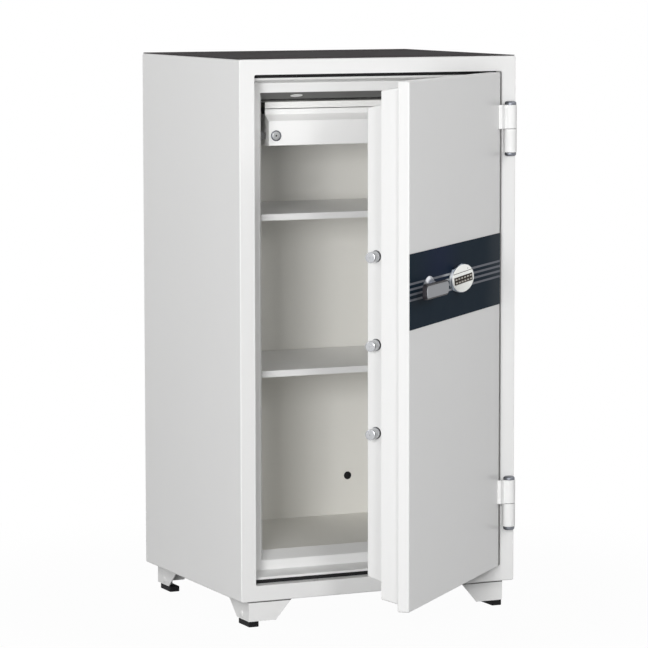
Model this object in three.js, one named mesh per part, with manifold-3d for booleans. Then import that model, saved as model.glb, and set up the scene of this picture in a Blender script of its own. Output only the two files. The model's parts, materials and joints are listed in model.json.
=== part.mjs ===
// A fireproof safe with an electronic lock, built up from its separate pieces.
// Millimetres, +Z up, +X to the right as seen from the front, +Y to the back.
// The origin is the centre of the body's underside. The door stands open at DOOR_OPEN.

import * as THREE from 'three';
import { mergeVertices } from 'three/addons/utils/BufferGeometryUtils.js';
import Module from 'manifold-3d';

const wasm = await Module();
wasm.setup();

// Body and its front border
const BODY_W = 650;
const BODY_D = 550;
const BODY_H = 1150;
const SHEET = 2;
const EDGE = 1.5;
const CORNER = 4;
const CORNER_STEPS = 3;
const BORDER = 34;
const TOP_SHEET = 1.2;
const TOP_MARGIN = 1;
const UNDER_FLANGE = 118;
const UNDER_RECESS = 0.5;

// Clearances
const FIT = 0.3;
const DOOR_GAP = 2.5;
const RUN_GAP = 0.6;

// Door: a slab, a tapered step behind it and a tapered plug behind that
const DOOR_OPEN = 44.2;
const SLAB_T = 25;
const STEP_D = 42;
const STEP_IN_FRONT = 12.5;
const STEP_IN_BACK = 20;
const PLUG_D = 46.5;
const PLUG_SIDE_FRONT = 48;
const PLUG_SIDE_BACK = 64;
const PLUG_END_FRONT = 46;
const PLUG_END_BACK = 57;
const PAN_T = 1.5;
const PAN_FLANGE = 14;

// Jamb and cavity
const PLUG_CLEAR_FRONT = 8;
const PLUG_CLEAR_BACK = 3;
const JAMB_SHORT = 3.5;
const SEAL_W = 7.5;
const SEAL_T = 1.6;
const LINER_T = 1.5;
const BACK_WALL = 80;
const ANCHOR_X = 141;
const ANCHOR_Z = 89;
const ANCHOR_R = 9;
const ANCHOR_HEAD = 2;
const ANCHOR_STEM_R = 6;
const ANCHOR_REACH = 14;
const ANCHOR_POCKET = 2;

// Shelves
const SHELF_HEIGHTS = [387, 724.5];
const SHELF_SETBACK = 4.5;
const SHELF_REAR_GAP = 3;
const SHELF_LIP = 14;
const SHELF_SHEET = 1.2;
const SUPPORT_T = 3;
const SUPPORT_W = 30;
const SUPPORT_TAIL = 120;
const LEDGE_W = 12;

// Drawer under the cavity's ceiling
const DRAWER_SIDE = 23.2;
const DRAWER_REAR = 27.7;
const DRAWER_SETBACK = 7;
const DRAWER_BOTTOM = 100.5;
const FRONT_FACE_H = 53;
const FRONT_SLOPE_H = 13;
const FRONT_LIP_H = 11.5;
const FRONT_SLOPE_D = 20;
const FRONT_T = 1.5;
const RAIL_H = 13.5;
const RAIL_GAP = 1.6;
const DRAWER_WALL = 1.2;
const GLIDE_W = 4;
const GLIDE_T = 2;
const RUNNER_UP = 30;
const RUNNER_H = 24;
const RUNNER_T = 5;
const CARRIER_SHEET = 1.5;
const CARRIER_REAR_GAP = 4;
const RAIL_RETURN = 40;
const CAM_LOCK_R = 11.5;
const CAM_LOCK_NECK = 9.5;
const CAM_LOCK_HEAD = 3.4;
const CAM_LOCK_RECESS = 1;
const CAM_LOCK_IN = 16.5;
const CAM_LOCK_UP = 21.5;
const CAM_LOCK_LEN = 15;
const CAM_LEN = 24;
const CAM_HALF = 5;
const CAM_HUB_R = 8;
const CAM_T = 2;
const CATCH_MARGIN = 2;

// Hinges
const HINGE_R = 13.5;
const HINGE_OUT = 18.5;
const HINGE_SIDE = 14.3;
const KNUCKLE_H = 51;
const HINGE_PIN_R = 7;
const CAP_H = 7.5;
const CAP_R = 12.5;
const CAP_BEVEL = 1.5;
const CAP_CROWN = 5;
const LEAF_T = 8;
const LEAF_RISE = 3;
const LEAF_W = 12.5;
const SADDLE_IN = 9;
const SADDLE_OUT = 14;
const HINGE_FOOT = 175;
const HINGE_HEAD = 158;

// Boltwork
const BOLT_R = 11;
const BOLT_BEVEL = 1.5;
const BOLT_CLEAR = 1.5;
const STRIKE_CLEAR = 2.5;
const BOLT_COUNT = 3;
const BOLT_PITCH = 181;
const BOLT_BACK = 25;
const BOLT_OUT = 35;
const BOLT_TRAVEL = 36;
const STRIKE_SPARE = 4;
const BAR_T = 6;
const BAR_W = 24;
const BAR_END = 22;
const BAR_INSET = 8;
const LUG_T = 3;
const LUG_MARGIN = 7;

// Band across the door, handle and lock
const BAND_H = 154;
const BAND_UP = 115;
const BAND_T = 1;
const HANDLE_U = 121;
const HUB_R = 24;
const HUB_NECK_R = 11;
const HUB_RIM = 2;
const HUB_STEPS = 7;
const HUB_H = 22.5;
const LEVER_TIP = 113;
const LEVER_TAIL = 26;
const LEVER_H = 31;
const LEVER_T = 10;
const LEVER_EDGE = 2;
const LEVER_CORNER = 10.4;
const LEVER_TIP_CORNER = 5;
const INSERT_RIM = 3.5;
const INSERT_T = 1.2;
const INSERT_PROUD = 0.6;
const INSERT_EDGE = 0.5;
const SPINDLE_R = 5;
const SPINDLE_SEAT = 6;
const SPINDLE_WAY = 2;
const CRANK_T = 4;
const CRANK_W = 12;
const CRANK_PIN_R = 3.5;
const HANDLE_SWEEP = 60;
const LOCK_R = 30;
const LOCK_OUT = 17.6;
const LOCK_UP = 5;
const LOCK_TURN = -29.6;
const LOCK_TILT = -6;
const LOCK_ROLL = 12;
const LOCK_SHIFT = 8;
const ROUND_STEPS = 40;
const FACE_T = 1.8;
const FACE_RIM = 0.6;
const COLLAR_FLARE = 1;
const PAD_W = 50;
const PAD_H = 16.2;
const PAD_DOWN = 1.8;
const PAD_RECESS = 0.4;
const PAD_SEAT = 1.2;
const PAD_POCKET = 3.2;
const KEY_COLUMNS = 6;
const KEY_ROWS = 2;
const KEY_W = 6.2;
const KEY_H = 5.4;
const KEY_PITCH_X = 7.9;
const KEY_PITCH_Y = 7.4;
const KEY_PROUD = 1.2;
const KEY_EDGE = 0.4;
const KEY_CORNER = 1;
const CASE_W = 64;
const CASE_H = 90;
const CASE_T = 32;
const CASE_GAP = 3;
const LOCK_BOLT_W = 14;
const LOCK_BOLT_T = 8;
const LOCK_BOLT_L = 34;
const LOCK_BOLT_GAP = 1;
const FINGER_IN = 8;
const FINGER_W = 8;
const FINGER_H = 10;

// Feet
const FOOT_SIDE = 22;
const FOOT_FRONT = 12;
const FOOT_REAR = 17.5;
const FOOT_H = 44;
const FOOT_FACE_TOP = 101;
const FOOT_FACE_BOTTOM = 63;
const FOOT_CHEEK_TOP = 116;
const FOOT_CHEEK_BOTTOM = 64;
const FOOT_SHEET = 2;
const FOOT_PLATE = 60;
const PAD_FOOT_W = 23;
const PAD_FOOT_D = 58;
const PAD_REAR_IN = 12;
const PAD_FOOT_H = 12;
const PAD_FOOT_CORNER = 2;
const STUD_R = 6;
const NUT_R = 10;
const NUT_H = 8;

// Values worked out from the driving sizes
const FRONT = -BODY_D / 2;
const BACK = BODY_D / 2;
const SLAB_HALF = BODY_W / 2 - BORDER - DOOR_GAP;
const SLAB_LOW = BORDER + DOOR_GAP;
const SLAB_HIGH = BODY_H - BORDER - DOOR_GAP;
const STEP_BACK = SLAB_T + STEP_D;
const PLUG_BACK = STEP_BACK + PLUG_D;
const JAMB_DEPTH = PLUG_BACK - JAMB_SHORT;
const DOOR_MIDDLE = (SLAB_LOW + SLAB_HIGH) / 2;
const BOLT_DEPTH = STEP_BACK + BOLT_BACK;
const HINGE_X = SLAB_HALF + HINGE_SIDE;
const HINGE_Y = FRONT - HINGE_OUT;
const HANDLE_X = -SLAB_HALF + HANDLE_U;
const BAND_HEIGHT = DOOR_MIDDLE + BAND_UP;
const HINGE_HEIGHTS = [HINGE_FOOT, BODY_H - HINGE_HEAD];
const BAND_FRONT = FRONT - FIT - BAND_T;

// The plug's taper, as insets from the slab's outline at a depth behind the front face
function plugSide(depth) {
  const share = (depth - STEP_BACK) / PLUG_D;
  return PLUG_SIDE_FRONT + share * (PLUG_SIDE_BACK - PLUG_SIDE_FRONT);
}

function plugEnd(depth) {
  const share = (depth - STEP_BACK) / PLUG_D;
  return PLUG_END_FRONT + share * (PLUG_END_BACK - PLUG_END_FRONT);
}

const CAVITY_SIDE = plugSide(JAMB_DEPTH) - PLUG_CLEAR_BACK;
const CAVITY_END = plugEnd(JAMB_DEPTH) - PLUG_CLEAR_BACK;
const CAVITY_HALF = SLAB_HALF - CAVITY_SIDE;
const CAVITY_FLOOR = SLAB_LOW + CAVITY_END;
const CAVITY_CEILING = SLAB_HIGH - CAVITY_END;
const CAVITY_BACK = BODY_D - BACK_WALL;

// Solids
function solid(geometry) {
  const bare = geometry.index ? geometry.toNonIndexed() : geometry.clone();
  bare.deleteAttribute('normal');
  bare.deleteAttribute('uv');
  const merged = mergeVertices(bare, 1e-4);
  const vertProperties = new Float32Array(merged.attributes.position.array);
  const triVerts = new Uint32Array(merged.index.array);
  return new wasm.Manifold(new wasm.Mesh({ numProp: 3, vertProperties, triVerts }));
}

function surface(body) {
  const mesh = body.getMesh();
  const points = new Float32Array(mesh.vertProperties);
  const geometry = new THREE.BufferGeometry();
  geometry.setAttribute('position', new THREE.BufferAttribute(points, 3));
  geometry.setIndex(new THREE.BufferAttribute(new Uint32Array(mesh.triVerts), 1));
  geometry.computeVertexNormals();
  return geometry;
}

function block(x0, x1, y0, y1, z0, z1) {
  const box = new THREE.BoxGeometry(x1 - x0, y1 - y0, z1 - z0);
  box.translate((x0 + x1) / 2, (y0 + y1) / 2, (z0 + z1) / 2);
  return solid(box);
}

// A closed solid through a row of rings with the same number of points, capped at both ends
function loft(rings) {
  const count = rings[0].length;
  const positions = rings.flat().flatMap((p) => [p.x, p.y, p.z]);
  const faces = [];
  for (let r = 0; r + 1 < rings.length; r += 1) {
    for (let i = 0; i < count; i += 1) {
      const a = r * count + i;
      const b = r * count + ((i + 1) % count);
      faces.push(a, b, a + count, b, b + count, a + count);
    }
  }
  const last = (rings.length - 1) * count;
  for (let i = 1; i + 1 < count; i += 1) {
    faces.push(0, i + 1, i);
    faces.push(last, last + i, last + i + 1);
  }
  const geometry = new THREE.BufferGeometry();
  geometry.setAttribute('position', new THREE.BufferAttribute(new Float32Array(positions), 3));
  geometry.setIndex(faces);
  if (signedVolume(geometry) < 0) {
    for (let i = 0; i < faces.length; i += 3) {
      [faces[i], faces[i + 1]] = [faces[i + 1], faces[i]];
    }
    geometry.setIndex(faces);
  }
  return solid(geometry);
}

function signedVolume(geometry) {
  const points = geometry.attributes.position;
  const index = geometry.index.array;
  const [a, b, c] = [new THREE.Vector3(), new THREE.Vector3(), new THREE.Vector3()];
  let total = 0;
  for (let i = 0; i < index.length; i += 3) {
    a.fromBufferAttribute(points, index[i]);
    b.fromBufferAttribute(points, index[i + 1]);
    c.fromBufferAttribute(points, index[i + 2]);
    total += a.dot(b.cross(c)) / 6;
  }
  return total;
}

// A rounded upright rectangle at the depth y, centred on x = 0
function ring(y, half, low, high, radius) {
  const points = [];
  const corners = [[1, high, 0], [-1, high, 90], [-1, low, 180], [1, low, 270]];
  for (const [side, z, start] of corners) {
    for (let i = 0; i <= CORNER_STEPS; i += 1) {
      const angle = THREE.MathUtils.degToRad(start + (90 * i) / CORNER_STEPS);
      const centreZ = z === high ? high - radius : low + radius;
      const x = side * (half - radius) + radius * Math.cos(angle);
      points.push(new THREE.Vector3(x, y, centreZ + radius * Math.sin(angle)));
    }
  }
  return points;
}

// The same, given as insets from the door slab's outline and a depth behind the front face
function inset(depth, side, end, radius = CORNER) {
  return ring(FRONT + depth, SLAB_HALF - side, SLAB_LOW + end, SLAB_HIGH - end, radius);
}

// An outline extruded along one axis: it lies in (y, z), (x, z) or (x, y) for the axis x, y or z
function prism(axis, from, to, outline) {
  const drawn = outline instanceof THREE.Shape;
  const shape = drawn ? outline : new THREE.Shape(outline.map((p) => new THREE.Vector2(...p)));
  const settings = { depth: to - from, bevelEnabled: false, curveSegments: 8 };
  const body = new THREE.ExtrudeGeometry(shape, settings);
  const toAxis = {
    x: new THREE.Matrix4().set(0, 0, 1, from, 1, 0, 0, 0, 0, 1, 0, 0, 0, 0, 0, 1),
    y: new THREE.Matrix4().set(1, 0, 0, 0, 0, 0, -1, to, 0, 1, 0, 0, 0, 0, 0, 1),
    z: new THREE.Matrix4().makeTranslation(0, 0, from),
  };
  body.applyMatrix4(toAxis[axis]);
  return solid(body);
}

function roundedShape(x0, x1, z0, z1, radius, right = radius) {
  const shape = new THREE.Shape();
  shape.moveTo(x0 + radius, z0);
  shape.lineTo(x1 - right, z0);
  shape.absarc(x1 - right, z0 + right, right, -Math.PI / 2, 0);
  shape.lineTo(x1, z1 - right);
  shape.absarc(x1 - right, z1 - right, right, 0, Math.PI / 2);
  shape.lineTo(x0 + radius, z1);
  shape.absarc(x0 + radius, z1 - radius, radius, Math.PI / 2, Math.PI);
  shape.lineTo(x0, z0 + radius);
  shape.absarc(x0 + radius, z0 + radius, radius, Math.PI, Math.PI * 1.5);
  return shape;
}

// A closed shape's points as a ring in space
function shapeRing(shape, steps, place) {
  return shape.extractPoints(steps).shape.map((p) => new THREE.Vector3(...place(p)));
}

// A profile of (radius, height) pairs turned about an axis through the point (x, y, z)
function turned(axis, x, y, z, profile, segments = 24) {
  const body = new THREE.LatheGeometry(profile.map((p) => new THREE.Vector2(...p)), segments);
  if (axis === 'z') body.rotateX(Math.PI / 2);
  if (axis === 'x') body.rotateZ(-Math.PI / 2);
  body.translate(x, y, z);
  return orient(body);
}

// Merges shared points, drops faces without area and points the rest outwards
function orient(geometry) {
  geometry.deleteAttribute('normal');
  geometry.deleteAttribute('uv');
  const merged = mergeVertices(geometry, 1e-4);
  const kept = [];
  const index = merged.index.array;
  for (let i = 0; i < index.length; i += 3) {
    const [a, b, c] = [index[i], index[i + 1], index[i + 2]];
    if (a !== b && b !== c && c !== a) kept.push(a, b, c);
  }
  merged.setIndex(kept);
  if (signedVolume(merged) < 0) {
    for (let i = 0; i < kept.length; i += 3) {
      [kept[i], kept[i + 1]] = [kept[i + 1], kept[i]];
    }
    merged.setIndex(kept);
  }
  return solid(merged);
}

function rod(axis, x, y, z, radius, length, segments = 24) {
  return turned(axis, x, y, z, [[0, 0], [radius, 0], [radius, length], [0, length]], segments);
}

// Finishes
function finish(color, roughness, metalness = 0) {
  return new THREE.MeshStandardMaterial({ color, roughness, metalness });
}

const white = finish(0xe9e9e7, 0.45);
const doorGrey = finish(0xcfcfcd, 0.42);
const charcoal = finish(0x3f4042, 0.6);
const navy = finish(0x1f2b39, 0.35);
const steel = finish(0xa9adb3, 0.3, 1);
const chrome = finish(0xd8dade, 0.12, 1);
const zinc = finish(0x8d949c, 0.4, 1);
const rubber = finish(0x141416, 0.8);
const filler = finish(0xb9b3a6, 0.95);
const blackPlastic = finish(0x1b1a1e, 0.4);
const satinGrey = finish(0x85858a, 0.38, 0.6);
const keyPale = finish(0xcfcdc4, 0.5);
const keyField = finish(0x3a332d, 0.6);

const safe = new THREE.Group();
const cabinet = new THREE.Group();
const door = new THREE.Group();
door.position.set(HINGE_X, HINGE_Y, 0);
door.rotation.z = THREE.MathUtils.degToRad(DOOR_OPEN);
safe.add(cabinet, door);

function add(parent, name, body, material) {
  const mesh = new THREE.Mesh(surface(body), material);
  mesh.name = name;
  if (parent === door) mesh.position.set(-HINGE_X, -HINGE_Y, 0);
  parent.add(mesh);
  return mesh;
}

// The jamb's inner surface, front to back, seen as insets from the slab's outline
function jambRings(grow) {
  const lead = 1;
  const ledge1 = SLAB_T + DOOR_GAP + grow;
  const ledge2 = STEP_BACK + DOOR_GAP + grow;
  const outer = -DOOR_GAP - grow;
  const step = DOOR_GAP + grow;
  const mouth = PLUG_CLEAR_FRONT + grow;
  return [
    inset(SHEET + FIT - (grow ? 0 : lead), outer, outer),
    inset(ledge1, outer, outer),
    inset(ledge1, STEP_IN_FRONT - step, STEP_IN_FRONT - step),
    inset(ledge2, STEP_IN_BACK - step, STEP_IN_BACK - step),
    inset(ledge2, PLUG_SIDE_FRONT - mouth, PLUG_END_FRONT - mouth),
    inset(JAMB_DEPTH + (grow ? 0 : lead), CAVITY_SIDE - grow, CAVITY_END - grow),
  ];
}

function boltHeight(i) {
  return DOOR_MIDDLE + (i - (BOLT_COUNT - 1) / 2) * BOLT_PITCH;
}

const BOLT_TIP = -SLAB_HALF + plugSide(BOLT_DEPTH) - BOLT_OUT;
const STRIKE_R = BOLT_R + STRIKE_CLEAR;
const STRIKE_END = BOLT_TIP - STRIKE_SPARE;
const STRIKE_MOUTH = -SLAB_HALF + CAVITY_SIDE + 1;

// Round bars where the bolts enter the jamb
function strikes(radius, end) {
  const bores = [];
  for (let i = 0; i < BOLT_COUNT; i += 1) {
    bores.push(rod('x', end, FRONT + BOLT_DEPTH, boltHeight(i), radius, STRIKE_MOUTH - end));
  }
  return bores;
}

const CASING_TOP = BODY_H - TOP_SHEET - FIT;

// The shallow field in the middle of the underside, inside the flanges that carry the feet
function underRecess() {
  const half = BODY_W / 2 - UNDER_FLANGE;
  const deep = BODY_D / 2 - UNDER_FLANGE;
  return prism('z', -1, UNDER_RECESS, roundedShape(-half, half, -deep, deep, CORNER));
}

// One wrapped sheet with the front frame folded in, open at the back and at the doorway
function outerCasing() {
  const half = BODY_W / 2;
  const wall = half - SHEET;
  const shell = loft([
    ring(FRONT, half - EDGE, EDGE, CASING_TOP - EDGE, CORNER),
    ring(FRONT + EDGE, half, 0, CASING_TOP, CORNER),
    ring(BACK - SHEET - FIT, half, 0, CASING_TOP, CORNER),
  ]);
  const inside = block(-wall, wall, FRONT + SHEET, BACK, SHEET, CASING_TOP - SHEET);
  const doorway = loft([inset(-1, -DOOR_GAP, -DOOR_GAP), inset(SHEET + 1, -DOOR_GAP, -DOOR_GAP)]);
  return shell.subtract(inside).subtract(doorway).subtract(underRecess());
}

function backPanel() {
  const half = BODY_W / 2;
  return loft([
    ring(BACK - SHEET, half, 0, CASING_TOP, CORNER),
    ring(BACK - EDGE, half, 0, CASING_TOP, CORNER),
    ring(BACK, half - EDGE, EDGE, CASING_TOP - EDGE, CORNER),
  ]);
}

function topCover() {
  const half = BODY_W / 2 - TOP_MARGIN;
  const deep = BODY_D / 2 - TOP_MARGIN;
  return prism('z', BODY_H - TOP_SHEET, BODY_H, roundedShape(-half, half, -deep, deep, CORNER));
}

// The stepped, tapering frame that the door closes into, with a cup for each bolt
function doorJamb() {
  const opening = loft(jambRings(0));
  let jamb = loft(jambRings(SHEET)).subtract(opening);
  for (const cup of strikes(STRIKE_R + SHEET, STRIKE_END - SHEET)) jamb = jamb.add(cup.subtract(opening));
  for (const bore of strikes(STRIKE_R, STRIKE_END)) jamb = jamb.subtract(bore);
  return jamb;
}

// A flat strip round the jamb's first ledge, which the closed door's slab presses
function fireSeal() {
  const back = SLAB_T + DOOR_GAP - FIT;
  const front = back - SEAL_T;
  const outer = -DOOR_GAP + FIT;
  const inner = outer + SEAL_W;
  const strip = loft([inset(front, outer, outer), inset(back, outer, outer)]);
  return strip.subtract(loft([inset(front - 1, inner, inner), inset(back + 1, inner, inner)]));
}

function linerRing(depth, grow) {
  const radius = CORNER + grow;
  return ring(FRONT + depth, CAVITY_HALF + grow, CAVITY_FLOOR - grow, CAVITY_CEILING + grow, radius);
}

function innerLiner() {
  const front = JAMB_DEPTH + FIT;
  const shell = loft([linerRing(front, LINER_T), linerRing(CAVITY_BACK + LINER_T, LINER_T)]);
  const inside = loft([linerRing(front - 1, 0), linerRing(CAVITY_BACK, 0)]);
  return shell.subtract(inside).subtract(anchorBar(-1, ANCHOR_STEM_R + FIT, LINER_T + 2));
}

// A round bar on the axis of the anchor hole in the cavity's back, from a depth behind that wall
function anchorBar(from, radius, length) {
  return rod('y', ANCHOR_X, FRONT + CAVITY_BACK + from, CAVITY_FLOOR + ANCHOR_Z, radius, length, 20);
}

// The plug that covers the floor or wall anchor's hole
function anchorPlug() {
  const face = -ANCHOR_HEAD - FIT;
  const profile = [
    [0, face],
    [ANCHOR_R - 1, face],
    [ANCHOR_R, face + 1],
    [ANCHOR_R, -FIT],
    [ANCHOR_STEM_R, -FIT],
    [ANCHOR_STEM_R, ANCHOR_REACH],
    [0, ANCHOR_REACH],
  ];
  return turned('y', ANCHOR_X, FRONT + CAVITY_BACK, CAVITY_FLOOR + ANCHOR_Z, profile, 20);
}

// The filling cast between the casing and the liner
function fireInsulation() {
  const wall = SHEET + FIT;
  const half = BODY_W / 2 - wall;
  const mass = block(-half, half, FRONT + wall, BACK - wall, wall, CASING_TOP - wall);
  const mouth = inset(0, -DOOR_GAP - wall, -DOOR_GAP - wall);
  const way = loft([mouth, ...jambRings(wall).slice(1)]);
  const grow = LINER_T + FIT;
  const liner = loft([linerRing(JAMB_DEPTH - 1, grow), linerRing(CAVITY_BACK + grow, grow)]);
  let body = mass.subtract(way).subtract(liner);
  for (const cup of strikes(STRIKE_R + wall, STRIKE_END - wall)) body = body.subtract(cup);
  return body.subtract(anchorBar(0, ANCHOR_STEM_R + ANCHOR_POCKET, ANCHOR_REACH + ANCHOR_POCKET));
}

const SHELF_FRONT = PLUG_BACK + SHELF_SETBACK;
const SHELF_HALF = CAVITY_HALF - SUPPORT_T - 3 * FIT;
const SHELF_BACK = CAVITY_BACK - SHELF_REAR_GAP;

// A shelf is one sheet with all four edges folded down
function shelf(height) {
  const top = CAVITY_FLOOR + height;
  const y0 = FRONT + SHELF_FRONT;
  const y1 = FRONT + SHELF_BACK;
  const tray = block(-SHELF_HALF, SHELF_HALF, y0, y1, top - SHELF_LIP, top);
  const s = SHELF_SHEET;
  const wall = SHELF_HALF - s;
  return tray.subtract(block(-wall, wall, y0 + s, y1 - s, top - SHELF_LIP - 1, top - s));
}

// An upright strip on the cavity's side wall with a ledge under each shelf
function shelfSupport(side) {
  const wall = side * (CAVITY_HALF - FIT);
  const inner = side * (CAVITY_HALF - FIT - SUPPORT_T);
  const tip = side * (CAVITY_HALF - FIT - SUPPORT_T - LEDGE_W);
  const middle = FRONT + (SHELF_FRONT + SHELF_BACK) / 2;
  const span = (SHELF_BACK - SHELF_FRONT) / 2 - SUPPORT_W;
  const foot = CAVITY_FLOOR + SHELF_HEIGHTS[0] - SHELF_LIP - SUPPORT_TAIL;
  const head = CAVITY_FLOOR + SHELF_HEIGHTS[1] - SHELF_LIP - FIT;
  const [w0, w1] = [Math.min(wall, inner), Math.max(wall, inner)];
  const [t0, t1] = [Math.min(wall, tip), Math.max(wall, tip)];
  let body = block(w0, w1, middle - SUPPORT_W, middle + SUPPORT_W, foot, head);
  for (const height of SHELF_HEIGHTS) {
    const top = CAVITY_FLOOR + height - SHELF_LIP - FIT;
    body = body.add(block(t0, t1, middle - span, middle + span, top - SUPPORT_T, top));
    body = body.add(block(w0, w1, middle - span, middle + span, top - SUPPORT_W, top));
  }
  return body;
}

// The corner of a foot under the body, with the foot reaching inwards from it along X and Y
function footPlace(sx, sy) {
  const placed = new THREE.Matrix4().makeScale(-sx, -sy, 1);
  const setback = sy < 0 ? FOOT_FRONT : FOOT_REAR;
  return placed.setPosition(sx * (BODY_W / 2 - FOOT_SIDE), sy * (BODY_D / 2 - setback), 0);
}

// A foot is two slanted webs at a right angle under a plate, and a pad on a threaded stud
function footBracket(sx, sy) {
  const web = (top, bottom) => [
    [0, -FIT],
    [top, -FIT],
    [bottom, -FOOT_H - FIT],
    [0, -FOOT_H - FIT],
  ];
  const along = prism('y', 0, FOOT_SHEET, web(FOOT_FACE_TOP, FOOT_FACE_BOTTOM));
  const across = prism('x', 0, FOOT_SHEET, web(FOOT_CHEEK_TOP, FOOT_CHEEK_BOTTOM));
  const plate = block(0, FOOT_PLATE, 0, FOOT_PLATE, -FOOT_SHEET - FIT, -FIT);
  return reflected(along.add(across).add(plate), footPlace(sx, sy));
}

// Moves a solid by a matrix and turns its faces round again where the matrix mirrors it
function reflected(body, matrix) {
  const geometry = surface(body);
  geometry.applyMatrix4(matrix);
  return orient(geometry);
}

function footPad(sx, sy) {
  const margin = FOOT_SHEET / 2;
  const edge = sy < 0 ? margin : margin + PAD_REAR_IN;
  const top = -FOOT_H - 2 * FIT;
  const [w, d] = [margin + PAD_FOOT_W, edge + PAD_FOOT_D];
  const pad = prism('z', top - PAD_FOOT_H, top, roundedShape(margin, w, edge, d, PAD_FOOT_CORNER));
  const studX = margin + PAD_FOOT_W / 2;
  const studY = edge + PAD_FOOT_D / 2;
  const seat = -FOOT_SHEET - 2 * FIT;
  const stud = rod('z', studX, studY, top - 1, STUD_R, seat - top + 1, 16);
  const nut = rod('z', studX, studY, seat - NUT_H, NUT_R, NUT_H, 6);
  return reflected(pad.add(stud).add(nut), footPlace(sx, sy));
}

// Drawer: it hangs in a carrier under the ceiling, on a runner each side
const DRAWER_FRONT = PLUG_BACK + DRAWER_SETBACK;
const DRAWER_HALF = CAVITY_HALF - DRAWER_SIDE;
const DRAWER_LOW = CAVITY_CEILING - DRAWER_BOTTOM;
const FACE_TOP = DRAWER_LOW + FRONT_FACE_H;
const SLOPE_TOP = FACE_TOP + FRONT_SLOPE_H;
const FRONT_TOP = SLOPE_TOP + FRONT_LIP_H;
const BAND_DEPTH = DRAWER_FRONT + FRONT_SLOPE_D;
const RAIL_LOW = FRONT_TOP + RAIL_GAP;
const BOX_HALF = DRAWER_HALF - GLIDE_W;
const RUNNER_Z = DRAWER_LOW + RUNNER_UP;
const CAM_LOCK_X = -DRAWER_HALF + CAM_LOCK_IN;
const CAM_LOCK_Z = DRAWER_LOW + CAM_LOCK_UP;
const CAM_Y = FRONT + DRAWER_FRONT + CAM_LOCK_LEN + FIT;

// A folded front: an upright face, a slope and a lip, with a slot in its left end for the lock's cam
function drawerFront() {
  const y0 = FRONT + DRAWER_FRONT;
  const y1 = FRONT + BAND_DEPTH;
  const outline = [
    [y0, DRAWER_LOW],
    [y0, FACE_TOP],
    [y1, SLOPE_TOP],
    [y1, FRONT_TOP],
    [y1 + FRONT_T, FRONT_TOP],
    [y1 + FRONT_T, SLOPE_TOP - 1],
    [y0 + FRONT_T, FACE_TOP - 1],
    [y0 + FRONT_T, DRAWER_LOW + FRONT_T],
    [y1, DRAWER_LOW + FRONT_T],
    [y1, DRAWER_LOW],
  ];
  const panel = prism('x', -DRAWER_HALF, DRAWER_HALF, outline);
  const ends = [...outline.slice(0, 3), [y1, DRAWER_LOW]];
  const left = prism('x', -DRAWER_HALF, -DRAWER_HALF + FRONT_T, ends);
  const right = prism('x', DRAWER_HALF - FRONT_T, DRAWER_HALF, ends);
  const bore = rod('y', CAM_LOCK_X, y0 - 1, CAM_LOCK_Z, CAM_LOCK_NECK + FIT, FRONT_T + 2);
  const slotLow = CAM_LOCK_Z - CAM_HALF - RUN_GAP;
  const slotHigh = CAM_LOCK_Z + CAM_LEN + RUN_GAP;
  const camWay = block(-DRAWER_HALF - 1, CAM_LOCK_X, CAM_Y - RUN_GAP, y1 + 1, slotLow, slotHigh);
  return panel.add(left).add(right).subtract(bore).subtract(camWay);
}

// An open tray with a glide along each side
function drawerBox() {
  const y0 = FRONT + BAND_DEPTH + FRONT_T + FIT;
  const y1 = FRONT + CAVITY_BACK - DRAWER_REAR;
  const w = DRAWER_WALL;
  const tray = block(-BOX_HALF, BOX_HALF, y0, y1, DRAWER_LOW, SLOPE_TOP);
  const wall = BOX_HALF - w;
  const inside = block(-wall, wall, y0 + w, y1 - w, DRAWER_LOW + w, SLOPE_TOP + 1);
  const left = block(-DRAWER_HALF, -wall, y0, y1, RUNNER_Z, RUNNER_Z + GLIDE_T);
  const right = block(wall, DRAWER_HALF, y0, y1, RUNNER_Z, RUNNER_Z + GLIDE_T);
  return tray.subtract(inside).add(left).add(right);
}

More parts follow.
